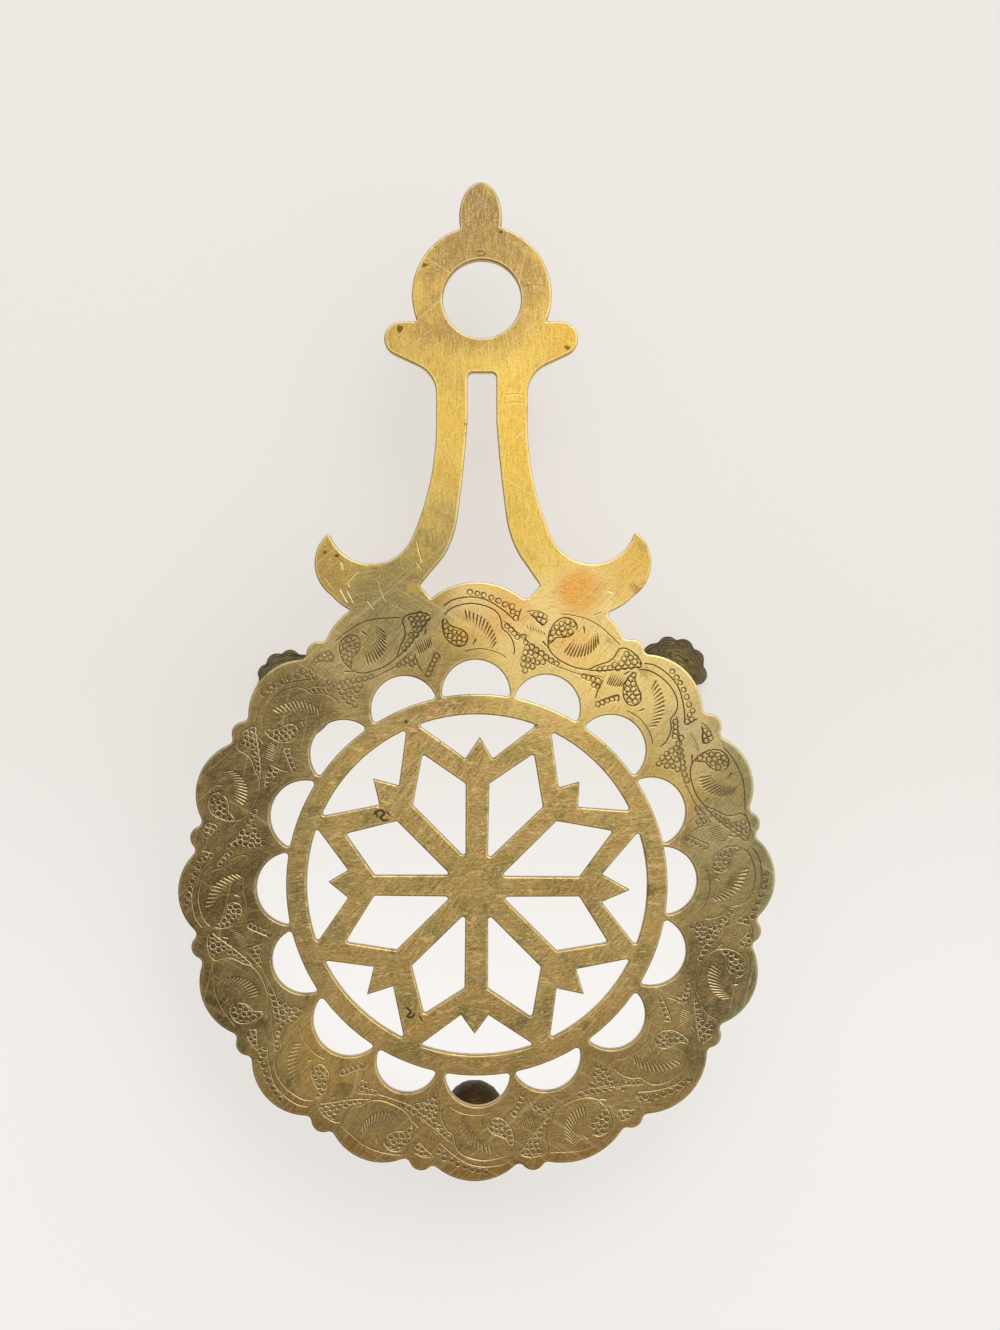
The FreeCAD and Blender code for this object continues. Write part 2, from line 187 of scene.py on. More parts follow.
# Brass of the plate: clean on the handle, duller on the rim, the step between partly polish and partly
# painted light, scratched by years of polishing
plateBrass = {
    "cleanAndLit": tone(242, 202, 98),
    "cleanAndLitDeep": tone(212, 174, 88),
    "dull": tone(188, 160, 102),
    "dullDeep": tone(146, 122, 76),
    "star": tone(198, 168, 100),
    "tan": tone(212, 166, 98),
    "olive": tone(158, 138, 80),
    "gold": tone(196, 156, 88),
    "glint": tone(250, 206, 136),
    "grimeAndShade": tone(62, 46, 24),
    "wornAndHighlight": tone(253, 234, 176),
    "cutPolishAndHighlight": tone(228, 208, 158),
    "rough": 0.34,
    "streak": 0.12,                  # how much the brushing changes the roughness
    "bump": 0.22,
    "bumpDepth": 0.1 * mm,
    "noises": {                      # scale, detail, roughness, warp, stretch, turn
        "cloud": (30, 3, 0.55, 0.4),
        "blotch": (110, 4, 0.6, 0.5),
        "dapple": (240, 3, 0.6, 0.6),
        "speck": (1500, 3, 0.7),
        "pits": (500, 2, 0.5),
        "upright": (600, 3, 0.7, 0, (0.22, 1.7, 1), 0.03),
        "level": (600, 3, 0.7, 0, (2.2, 0.3, 1), 0.15),
        "slanted": (600, 3, 0.7, 0, (2.4, 0.28, 1), 0.9),
        "dots": (1500, 3, 0.75, 0, (1.6, 0.7, 1), 0.1),
        "glints": (420, 3, 0.6, 0.3, (1.9, 0.6, 1), 0.45),
        "levelGlints": (380, 3, 0.6, 0.3, (2.0, 0.6, 1), -0.1),
    },
    "scratches": ((430, 0.7), (390, -0.55), (450, 1.35), (360, 2.6)),  # scale and turn
    "patches": {                     # darker, paler and warmer places, among them stains, rubbed places and one painted lit patch: where (mm), how far, colour, how strong
        # painted light: the rim below the handle lit brighter
        "litTop": ((26, 17), 34, tone(255, 222, 146), 0.85),
        "warmBlush": ((30, 32), 9, tone(240, 160, 56), 0.75),
        "warmLeaf": ((29, 15), 8, tone(252, 190, 96), 0.5),
        "paleLeaf": ((-34, 17), 22, tone(198, 172, 118), 0.8),
        "warmBowl": ((3, 23), 9, tone(240, 186, 108), 0.6),
        "blushLeaf": ((12, 27), 7, tone(248, 180, 92), 0.5),
        "paleCrest": ((-2, 29), 9, tone(246, 214, 150), 0.75),
        "dimTop": ((-10, 6), 17, tone(158, 134, 88), 0.7),
        "paleStem": ((-20, 21), 12, tone(208, 182, 124), 0.75),
        "warmStem": ((42, 8), 13, tone(255, 216, 124), 0.85),
        "warmHorn": ((48, 38), 12, tone(240, 188, 84), 0.5),
        "goldLeg": ((13, 76), 28, tone(246, 202, 82), 0.6),
        "goldEar": ((27, 107), 11, tone(242, 188, 72), 0.6),
        "dimFinial": ((1, 150), 27, tone(134, 110, 66), 0.95),
        "brownFinial": ((-5, 153), 7, tone(140, 112, 62), 0.5),
        "dimRing": ((0, 126), 34, tone(166, 132, 80), 0.85),
        "dimLeftLeg": ((-11, 50), 18, tone(168, 146, 92), 0.7),
        "dimLeftHorn": ((-26, 32), 22, tone(146, 130, 86), 0.8),
        "dimHornTip": ((-46, 40), 12, tone(172, 138, 80), 0.7),
        "paleRight": ((58, 8), 22, tone(244, 216, 142), 0.85),
        "greyRight": ((66, -14), 17, tone(206, 184, 134), 0.8),
        "greenRight": ((83, -52), 24, tone(142, 134, 92), 0.65),
        "dimLowRight": ((69, -80), 12, tone(112, 96, 64), 0.6),
        "darkRight": ((77, -96), 23, tone(112, 97, 66), 0.75),
        "dimRight": ((80, -26), 15, tone(152, 138, 94), 0.7),
        "paleLeafRight": ((73, -40), 12, tone(186, 166, 120), 0.8),
        "dimSpoke": ((27, -60), 12, tone(148, 120, 70), 0.6),
        "darkLeft": ((-84, -54), 46, tone(120, 98, 61), 0.9),
        "darkLeaf": ((-66, -19), 20, tone(112, 94, 62), 0.8),
        "darkLow": ((-76, -98), 13, tone(96, 80, 50), 0.7),
        "leafLeft": ((-53, -4), 14, tone(120, 100, 62), 0.8),
        "warmLow": ((6, -132), 54, tone(181, 143, 82), 0.75),
        "goldLow": ((-43, -105), 20, tone(206, 166, 94), 0.85),
        "goldLowRight": ((52, -94), 15, tone(186, 154, 96), 0.7),
        "paleLeft": ((-79, -40), 9, tone(156, 132, 88), 0.5),
    },
    "spans": {                       # where one look goes over into another, in metres
        "sheen": (-0.022, 0.026),    # from the dull rim to the clean handle: polish and painted light
        "handle": (0.03, 0.05),      # to the brushing along the handle
        "top": (-0.035, 0.02),       # from cuts with pale polish and painted highlight to cuts dark with grime and painted shade
        "star": (0.052, 0.06),       # outwards, from the star to its ring
        "margin": (0.0825, 0.0855),  # outwards, to the margin outside the engraved arches
        "sides": (0.0022, 0.005),    # sideways, as squares: to the side lobes
        "under": (0.1 * mm, 1.2 * mm),  # upwards from the underside
    },
    "margins": {                     # which way it strengthens, between which places, colour, how strong
        "green": ((1, 0), (0.055, 0.085), tone(146, 142, 100), 0.6),
        "amber": ((0, -1), (0.1, 0.13), tone(164, 120, 60), 0.6),
    },
    "marks": {                       # small dark pits: where (mm), how far
        "earLeft": ((-22.9, 109.9), 1.2),
        "earRight": ((27.2, 104.3), 0.9),
        "legPit": ((-3.3, 81.5), 0.5),
        "legPitLow": ((-3.4, 78.7), 0.45),
        "armPit": ((-25.1, -75.7), 0.8),
        "ringPitLeft": ((-21.1, -7.3), 0.6),
        "ringPitRight": ((17.8, -8.4), 0.8),
        "hornPit": ((-45.4, 43.1), 0.7),
        "hornPitInner": ((-41.8, 42.4), 0.8),
        "ringSpot": ((-15.5, 128.8), 0.9),
        "finialSpot": ((7.2, 138.8), 0.8),
    },
}


def plateFinish():
    material, web = newFinish("scratchedBrass")
    brass = plateBrass
    span = brass["spans"]
    place = web.add("ShaderNodeTexCoord", {}, {}, 3)
    split = web.add("ShaderNodeSeparateXYZ", {}, {"Vector": place})
    across, along, upward = split, split.part("Y"), split.part("Z")
    groove, edge, rubbed = [web.attribute(name) for name in ("engraved", "edge", "rubbed")]
    fromMiddle = levelSpan(across, along, middle["x"], middle["y"])
    grain = {name: web.noise(place, *how) for name, how in brass["noises"].items()}
    cloud, blotch, pits = grain["cloud"], grain["blotch"], grain["pits"]

    # The base: clean on the handle, dull on the rim, partly polish and partly painted light, its own tone on
    # the star, then the patches
    # painted light with polish: the brass brighter and cleaner towards the handle
    sheen = (along + across * 0.45 + (cloud - 0.5) * 0.03).rise(*span["sheen"])
    onHandle = (along + (cloud - 0.5) * 0.02).rise(*span["handle"])
    onStar = 1 - fromMiddle.rise(*span["star"])
    cleanAndLit = web.mix(brass["cleanAndLitDeep"], brass["cleanAndLit"], cloud.rise(0.3, 0.65))
    patchy = cloud.rise(0.3, 0.6) * 0.6 + blotch.rise(0.35, 0.65) * 0.4
    dull = web.mix(web.mix(brass["dullDeep"], brass["dull"], patchy), brass["star"], onStar)
    plain = web.mix(dull, cleanAndLit, sheen)
    for (east, north), reach, colour, share in brass["patches"].values():
        away = levelSpan(across, along, east * mm, north * mm) + (cloud - 0.5) * reach * mm * 0.9
        inside = (1 - away.rise(reach * 0.35 * mm, reach * 1.1 * mm)) * (blotch.rise(0.25, 0.5) * 0.7 + 0.3)
        plain = web.mix(plain, colour, inside * share)
    margin = (fromMiddle + (blotch - 0.5) * 0.004).rise(*span["margin"]) * (1 - onHandle)
    for (east, north), (low, high), colour, share in brass["margins"].values():
        plain = web.mix(plain, colour, (across * east + along * north).rise(low, high) * margin * share)

    # Brushing, crossed scratches, painted glints on the star and pits
    brushed = web.mix(grain["slanted"], grain["level"], cloud.rise(0.42, 0.58))
    brushed = web.mix(brushed, grain["upright"], onHandle)
    brushed = web.add("ShaderNodeSeparateColor", {}, {"Color": brushed})
    scratched = None
    for scale, turn in brass["scratches"]:
        more = web.noise(place, scale, 2, 0.5, 0.15, (22, 0.5, 1), turn).rise(0.64, 0.72)
        scratched = scratched.most(more) if scratched else more
    fine = brushed * 0.5 + grain["speck"] * 0.5
    dotted = grain["dots"] * 0.55 + brushed * 0.45
    # painted glints: small bright flecks on the star
    glints = grain["glints"].rise(0.62, 0.68).most(grain["levelGlints"].rise(0.62, 0.68))
    plain = web.coat(plain, brass, [
        ("wornAndHighlight", fine.rise(0.48, 0.64) * (0.24 + onHandle * 0.06) * (1 - onStar)),
        ("grimeAndShade", (1 - fine.rise(0.36, 0.52)) * 0.34 * (1 - onStar)),
        ("wornAndHighlight", scratched * 0.2),
        ("tan", blotch.rise(0.45, 0.6) * onStar * 0.55),
        ("olive", (1 - blotch.rise(0.38, 0.5)) * onStar * 0.5),
        ("wornAndHighlight", dotted.rise(0.5, 0.64) * onStar * 0.6),
        ("grimeAndShade", (1 - dotted.rise(0.37, 0.51)) * onStar * 0.54),
        ("glint", glints * onStar * 0.75),
        ("grimeAndShade", (1 - pits.rise(0.22, 0.3)) * 0.4),
    ])
    for (east, north), reach in brass["marks"].values():
        away = levelSpan(across, along, east * mm, north * mm) + (pits - 0.5) * reach * mm * 2.4
        plain = web.mix(plain, brass["grimeAndShade"], (1 - away.rise(reach * 0.5 * mm, reach * mm)) * 0.75)

    # Cuts are dark by the handle, with grime and painted shade. Below it they hold pale polish with a painted
    # highlight, and painted shade at their lips. Worn edges are brighter, partly as painted highlight, and
    # the very rim is darker, as painted shade with grime
    nearTop = (along + across * 0.4).rise(*span["top"])
    belowTop = 1 - nearTop
    atSides = ((across - middle["x"]) ** 2).rise(*span["sides"]) * belowTop * (1 - onStar)
    # painted shade with grime: cuts darker towards the handle
    cut = groove.rise(0.06, 0.8) * nearTop * 0.86
    underneath = 1 - upward.rise(*[plateBottom + height for height in span["under"]])
    dapple = grain["dapple"]
    plain = web.coat(plain, brass, [
        ("grimeAndShade", (1 - blotch.rise(0.28, 0.4)) * (0.12 + (1 - onHandle) * 0.2)),
        ("gold", dapple.rise(0.5, 0.66) * atSides * 0.26),
        ("grimeAndShade", (1 - dapple.rise(0.34, 0.5)) * atSides * 0.3),
        # painted shade with grime: dark lips on the cuts below the handle, and the dark cuts by it
        ("grimeAndShade", groove.rise(0.02, 0.25) * belowTop * (0.5 + atSides * 0.2) + cut),
        # painted highlight with pale polish: the floors of the cuts below the handle
        ("cutPolishAndHighlight", groove.rise(0.35, 0.8) * belowTop * (0.68 + atSides * 0.08)),
        ("wornAndHighlight", rubbed.rise(0.1, 0.8) * 0.7),
        ("grimeAndShade", (rubbed * -1).rise(0.05, 0.6) * 0.85),
        # painted highlight with wear: a bright band just inside each outline
        ("wornAndHighlight", edge.rise(0.2, 0.5) * blotch.rise(0.3, 0.55) * (0.24 + nearTop * 0.2)),
        # painted shade with grime: the rounded rim darker
        ("grimeAndShade", edge.rise(0.72, 0.95) * (0.3 + cloud * 0.4)),
        ("dullDeep", underneath * 0.6),
    ])

    roughness = brass["rough"] + (brushed - 0.5) * brass["streak"] + cut * 0.15 + (1 - cloud) * 0.08
    height = brushed * 0.5 - scratched * 0.35 + grain["speck"] * 0.3 + blotch * 0.2
    web.metal(plain, roughness, height, brass["bump"], brass["bumpDepth"])
    return material


scratchedBrass = plateFinish()
print("plate finish made")


# Engraving: a running scroll. Even lobes carry the first motif and odd lobes the second. Places
# are read along the rim and out from the middle, in millimetres, about each lobe's middle.
engraving = {
    "lineWidth": 0.58 * mm,
    "fineWidth": 0.42 * mm,
    "strokeWidth": 0.84 * mm,
    "lineDepth": 0.2 * mm,
    "beadRadius": 0.8 * mm,
    "beadWall": 0.26 * mm,
    "beadFlat": 0.72,                # inside this share of its radius a bead stays high
    "beadDepth": 0.2 * mm,
    "beadDome": 5,                   # the power by which a bead falls towards its ring
    "beadTilt": 0.4,                 # the punch leaned, so one side of each ring is deeper
    "beadSides": 10,
    "beadSizes": (0.9, 1.12),
    "fanCount": 12,
    "hatchCount": 8,
    "sideCount": 7,
    "lineStep": 0.9,                 # a point about every so far along a line, in millimetres
    "strokeShape": ((0, 0), (0.18, 1), (0.5, 0.85), (0.8, 0.45), (1, 0)),  # place and width, as shares
    "scarDepth": 0.4,                # as a share of the line's depth
    "darkening": 1.2,                # a cut is at its darkest a little above its floor
    "wobble": 0.35 * mm,
    "wobbleScale": 160.0,
    "seed": 7,
    "evenSwing": (1.3, 0, 0.6, 0, 0.6, -0.3, -1.8, -1.2),  # along the rim, lobe by lobe
    "oddSwing": (1.7, 0.2, -0.5, 0, -0.5, -2.0, -1.0, -1.2),
    "evenLift": (0.9, 0, 0.4, 0.2, 0, 0.9, 0.5, -0.7),     # outwards, lobe by lobe
    "oddLift": (0.1, 0, 0.7, 0.3, -0.1, -0.5, -0.1, -0.3),
}

evenMotif = {
    "comma": [(-10.8, 79.2), (-11.9, 76.6), (-11.3, 73.2), (-9.4, 70.9), (-7, 70), (-4.9, 70.7), (-4.2, 72.8),
              (-5.4, 74.6), (-8, 75.8), (-9.8, 76.9), (-10.5, 78.6)],
    "leaf": [(-11, 79.6), (-9.8, 80.8), (-8, 81.8), (-5.5, 82.4), (-3, 82.65), (-0.5, 82.4), (2, 81.7),
             (3.9, 80.7), (5, 79.7), (5.9, 78), (6.6, 75.6), (8.7, 74.2), (10.2, 72.3), (11.3, 69.8),
             (11.2, 67.6)],
    "stem": [(-11, 82.3), (-8, 84), (-5, 84.5), (-2.5, 84.6), (0.5, 84.1), (3, 83), (5.5, 81.5), (7.5, 80.2),
             (10.5, 78)],
    "band": [(6.2, 78.2), (9.5, 76), (13, 74.2), (16, 72.5), (18.8, 71.2)],
    "wedge": [(11.3, 82.6), (11, 80.2), (10.6, 78.1)],
    "outerBeads": [(-3.2, 86), (-1.2, 85.6), (0.5, 85.2), (2.6, 84.5), (4.6, 83.7), (6.6, 82.8), (8.6, 82.4),
                   (9, 80.9), (10.4, 80.6), (10.2, 79.1)],
    "commaBeads": [(-11, 77.9), (-11, 76.4), (-10.8, 74.9), (-9.4, 75.6), (-9.9, 73.4), (-8.4, 74.4),
                   (-8.5, 72.5), (-6.9, 74.1), (-7, 72.5), (-5.7, 73.5), (-5.5, 71.9), (-7.2, 71.1),
                   (-8.8, 71.3)],
    "bandBeads": [(8, 76.4), (9.3, 75.5), (10.4, 74.5), (11.5, 73.6)],
    "fanTops": [(-4.9, 81.2), (-2.4, 80.4), (-0.2, 79.5), (1.8, 78.2), (3.5, 76.2), (4.7, 73.8), (5.2, 71.8)],
    "fanFeet": [(-4.1, 77.3), (-1.9, 75.8), (-0.4, 74.3), (0.8, 72.9), (1.8, 71.6), (2.7, 70.3), (3.3, 69)],
    "dash": [(-1.5, 72.3), (-2.8, 69.9)],
    "brow": [(-6, 68.2), (-3, 68.9), (0, 69.1), (3.5, 68.8), (7, 67.9), (9.5, 66.7)],
}

oddMotif = {
    "comma": [(-3.3, 80.6), (-3.3, 82.2), (-4.6, 83.4), (-6.4, 83.7), (-8.4, 82.9), (-9.8, 80.9),
              (-10.4, 78), (-10.2, 75.7), (-9.4, 74.8), (-8.6, 75.7), (-7.7, 77.2), (-5.8, 77.7), (-4.1, 79),
              (-3.3, 80.6)],
    "leaf": [(-10.5, 77.5), (-10, 75), (-9, 73.2), (-7, 71.7), (-4, 70.85), (0, 70.6), (3, 71.1),
             (5.5, 72.25), (6.75, 74), (8.25, 75.5), (9.75, 77.25), (10.25, 79.5), (10.2, 81.6), (11.4, 82.8),
             (13.5, 83.1), (16, 82.75), (18.7, 81.5)],
    "stem": [(5, 71.5), (9, 73.5), (12, 75.5), (15, 78), (18.5, 81.25)],
    "under": [(-13, 71.5), (-9, 69.6), (-4, 69), (3, 69.4), (6, 70.4), (9, 71.6), (11, 72.2)],
    "fall": [(11, 72), (11.25, 68), (12.25, 65)],
    "arch": [(-9.5, 84), (-5.5, 84.9), (-1, 85.35), (2.5, 85), (6, 84), (10.5, 82.75)],
    "notch": [(13, 64.5), (15.5, 67.4), (18, 70.25), (19.5, 68)],
    "nubArch": [(-18.7, 82), (-17, 82.9), (-15, 83.2), (-12.6, 82.7)],
    "nubWedge": [(-17.8, 82.3), (-15.2, 80.8), (-12.9, 79.4), (-11.7, 81.9)],
    "commaBeads": [(-9.5, 76.3), (-9.4, 78.1), (-8.9, 79.9), (-7.8, 81.4), (-6.3, 82.5), (-4.6, 82.2),
                   (-7.8, 78.5), (-7.2, 80), (-5.8, 80.9), (-6.2, 78.9), (-4.6, 79.9)],
    "nubBeads": [(8.3, 73.5), (9.6, 74.5), (10.9, 75.4), (11.6, 76.9), (12.9, 76.7), (13.1, 78.4),
                 (14.5, 78.1), (13, 80), (14.6, 79.7), (16, 79.4), (12.8, 81.6), (14.4, 81.4), (16, 81.1),
                 (17.4, 80.9), (15.4, 82.4)],
    "spandrelBeads": [(5, 69.5), (6.5, 69.7), (8, 70), (9.6, 70.3), (9.3, 68.6), (10.6, 68.8)],
    "notchBeads": [(13.9, 64.4), (15, 65.6), (16.1, 66.9), (17.1, 68.1), (18.1, 69.1)],
    "wedgeBeads": [(-15.6, 82), (-14.2, 82.2), (-12.9, 82), (-14.3, 80.9), (-13, 80.6)],
    "clusterBeads": [(-17.8, 74.8), (-16.8, 73.3), (-16, 71.8), (-14.6, 72.4), (-12.9, 71.8), (-14.5, 70.6),
                     (-16.2, 70.2), (-12.7, 70.1), (-11, 71.2), (-9.2, 70.5), (-7.2, 70), (-5.2, 69.7),
                     (-9.8, 68.8), (-11.5, 68.2), (-13.1, 68.4), (-14.9, 68.4), (-16.4, 68.5), (-16.1, 66.7),
                     (-14.4, 66.6), (-12.8, 66.7), (-15, 64.9)],
    "fanTops": [(-3.1, 77.6), (-2, 78), (-1, 78.3), (-0.1, 78.7), (0.6, 79.4), (1.2, 80.4), (1.7, 81.6),
                (2.2, 83.4)],
    "fanFeet": [(-4.2, 72.9), (-3, 72.5), (-1.6, 72.5), (-0.2, 72.8), (1.4, 73.6), (2.9, 74.9), (4.1, 76.9),
                (4.6, 79.5)],
    "dash": [(-1.7, 83.2), (-0.4, 80.8)],
    "hatchTops": [(12.1, 75.2), (13.8, 75.9), (15.4, 76.2), (17, 76)],
    "hatchFeet": [(12.8, 70.4), (14.2, 70.6), (15.6, 71.2), (17, 72.4)],
    "hatchDash": [(15.5, 76), (16.75, 78.75)],
    "sideTops": [(-17.4, 78.6), (-15.8, 78.5), (-14.2, 78.2), (-12.4, 77.8)],
    "sideFeet": [(-16.6, 76.6), (-14.6, 76.3), (-12.8, 75.9), (-10.8, 76)],
    "sideDash": [(-12, 75), (-9, 73.2)],
}


# Wear: scratches, dents and a crack. Each is a width, a shade from -1 (dark) to 1 (rubbed bright)
# and places in the plate's own x and y, all in millimetres
scars = {
    "armWorm": (1.2, -1, [(-31, -35.4), (-29.8, -34.2), (-28.4, -33.8), (-27.6, -34.9), (-28.8, -36),
                          (-27.4, -37), (-25.8, -36.4)]),
    "armWormLow": (0.9, -1, [(-30.6, -34.2), (-29.6, -35.4), (-30.2, -36.4)]),
    "armWormEnd": (0.9, -0.9, [(-27.4, -34.2), (-26.2, -34.9), (-25.6, -36)]),
    "armScribble": (1, -1, [(-21.4, -92.3), (-19.6, -94), (-20.9, -95.3), (-19.1, -95.6), (-18.3, -93.6)]),
    "armDash": (0.7, -0.8, [(-17.4, -94.6), (-15.9, -97.4)]),
    "rootCrack": (0.5, -0.7, [(34.3, 24), (36, 24.9), (37.9, 25.2)]),
    "eyeLine": (0.42, -0.5, [(13.3, 122.5), (17, 122.9), (21, 122.7)]),
    "legLineHigh": (0.42, -0.45, [(7.6, 90), (11, 90.4), (14.8, 90.1)]),
    "legLineLow": (0.42, -0.45, [(7.6, 87.4), (10.5, 87.9), (14.8, 87.8)]),
    "eyeOval": (0.5, -0.7, [(-0.7, 132.1), (0.2, 132.9), (1.9, 133), (2.6, 132.4), (1.9, 131.7), (0.2, 131.6),
                            (-0.7, 132.1)]),
    "legScratch": (0.6, 0.9, [(-17.9, 47.2), (-17.2, 43.5), (-16.1, 39.8)]),
    "legScratchLow": (0.5, 0.7, [(-18.4, 41), (-16.2, 37.6)]),
    "hornStreak": (0.9, 1, [(-41, 33.1), (-39.6, 30.3), (-38, 27.7)]),
    "hornStreakInner": (0.7, 0.9, [(-38.9, 32.6), (-37.6, 30), (-36.6, 27.9)]),
    "hornStreakOuter": (0.4, 0.6, [(-45.7, 36.4), (-44, 34), (-42.3, 32)]),
    "hornDent": (1.6, 0.8, [(-40.8, 41), (-40, 39.4), (-39.8, 37.4)]),
    "hornBend": (0.8, 0.7, [(-34.4, 38.2), (-36.6, 36.2), (-38.2, 34), (-37.4, 32.6)]),
    "rootStreak": (0.5, 0.7, [(-29.3, 35), (-28.4, 31.5), (-26.8, 28)]),
    "rootStreakLow": (0.5, 0.6, [(-33, 29.4), (-30.4, 25.8)]),
    "hornFootStreak": (0.6, 0.6, [(38.8, 31.9), (41, 31)]),
    "spokeStreak": (0.5, 0.8, [(1.4, -36), (1.9, -38.6)]),
    "spokeFleck": (0.5, 0.7, [(-1.2, -42.4), (-0.9, -44.6)]),
    "spokeFleckLow": (0.5, 0.7, [(0.9, -78.4), (0.7, -81.4)]),
}


# A smooth line through the points, with a point about every spacing
def smoothLine(points, spacing):
    knots = [np.array(point, float) for point in points]
    knots = [2 * knots[0] - knots[1]] + knots + [2 * knots[-1] - knots[-2]]
    line = []
    for before, start, end, after in zip(knots, knots[1:], knots[2:], knots[3:]):
        steps = max(1, round(np.linalg.norm(end - start) / spacing))
        for step in range(steps):
            u = step / steps
            squared = (2 * before - 5 * start + 4 * end - after) * u ** 2
            cubed = (3 * start - 3 * end + after - before) * u ** 3
            line.append(0.5 * (2 * start + (end - before) * u + squared + cubed))
    line.append(knots[-2])
    return line


# Straight strokes between two curved rows
def fanStrokes(tops, feet, count):
    upper = smoothLine(tops, 0.1)
    lower = smoothLine(feet, 0.1)
    strokes = []
    for k in range(count):
        share = k / (count - 1)
        strokes.append([upper[round(share * (len(upper) - 1))], lower[round(share * (len(lower) - 1))]])
    return strokes


def fromRim(spot):                   # from along-the-rim and outwards to plain x and y
    turn = spot[0] * mm / middle["swingRadius"]
    return (spot[1] * mm * math.sin(turn), spot[1] * mm * math.cos(turn), 0)


# Lines and strokes as chains of edges that carry their widths, beads as loose points
def motifMesh(name, lines, strokes, beads):
    points, edges, widths, isBead = [], [], [], []
    for width, line in lines:
        dense = smoothLine(line, engraving["lineStep"])
        for k, spot in enumerate(dense):
            if k:
                edges.append((len(points) - 1, len(points)))
            points.append(fromRim(spot))
            widths.append(width * (0.0 if k in (0, len(dense) - 1) else 1.0))
            isBead.append(0.0)
    for width, (start, end) in strokes:
        for k, (share, wide) in enumerate(engraving["strokeShape"]):
            if k:
                edges.append((len(points) - 1, len(points)))
            points.append(fromRim(np.array(start) * (1 - share) + np.array(end) * share))
            widths.append(width * wide)
            isBead.append(0.0)
    for spot in beads:
        points.append(fromRim(spot))
        widths.append(0.0)
        isBead.append(1.0)
    mesh = newMesh(name, points, [], edges)
    setValues(mesh, "cutWidth", widths)
    setValues(mesh, "isBead", isBead)
    return newPiece(name, mesh)


def evenLobe():
    motif, cut = evenMotif, engraving
    lines = [(cut["lineWidth"], motif[name]) for name in ("comma", "leaf", "stem", "wedge")]
    lines += [(cut["fineWidth"], motif[name]) for name in ("band", "brow")]
    fan = fanStrokes(motif["fanTops"], motif["fanFeet"], cut["fanCount"])
    strokes = [(cut["strokeWidth"], stroke) for stroke in fan]
    strokes.append((cut["strokeWidth"], motif["dash"]))
    beads = motif["outerBeads"] + motif["commaBeads"] + motif["bandBeads"]
    return motifMesh("evenLobe", lines, strokes, beads)


def oddLobe():
    motif, cut = oddMotif, engraving
    lines = [(cut["lineWidth"], motif[name])
             for name in ("comma", "leaf", "stem", "fall", "notch", "nubWedge")]
    lines += [(cut["fineWidth"], motif[name]) for name in ("under", "arch", "nubArch")]
    strokes = []
    for width, first, last, count in (("strokeWidth", "fanFeet", "fanTops", cut["fanCount"]),
                                      ("lineWidth", "hatchFeet", "hatchTops", cut["hatchCount"]),
                                      ("fineWidth", "sideTops", "sideFeet", cut["sideCount"])):
        strokes += [(cut[width], stroke) for stroke in fanStrokes(motif[first], motif[last], count)]
    strokes += [(cut["strokeWidth"], motif[name]) for name in ("dash", "hatchDash", "sideDash")]
    beads = []
    for name in ("commaBeads", "nubBeads", "spandrelBeads", "notchBeads", "wedgeBeads", "clusterBeads"):
        beads += motif[name]
    return motifMesh("oddLobe", lines, strokes, beads)


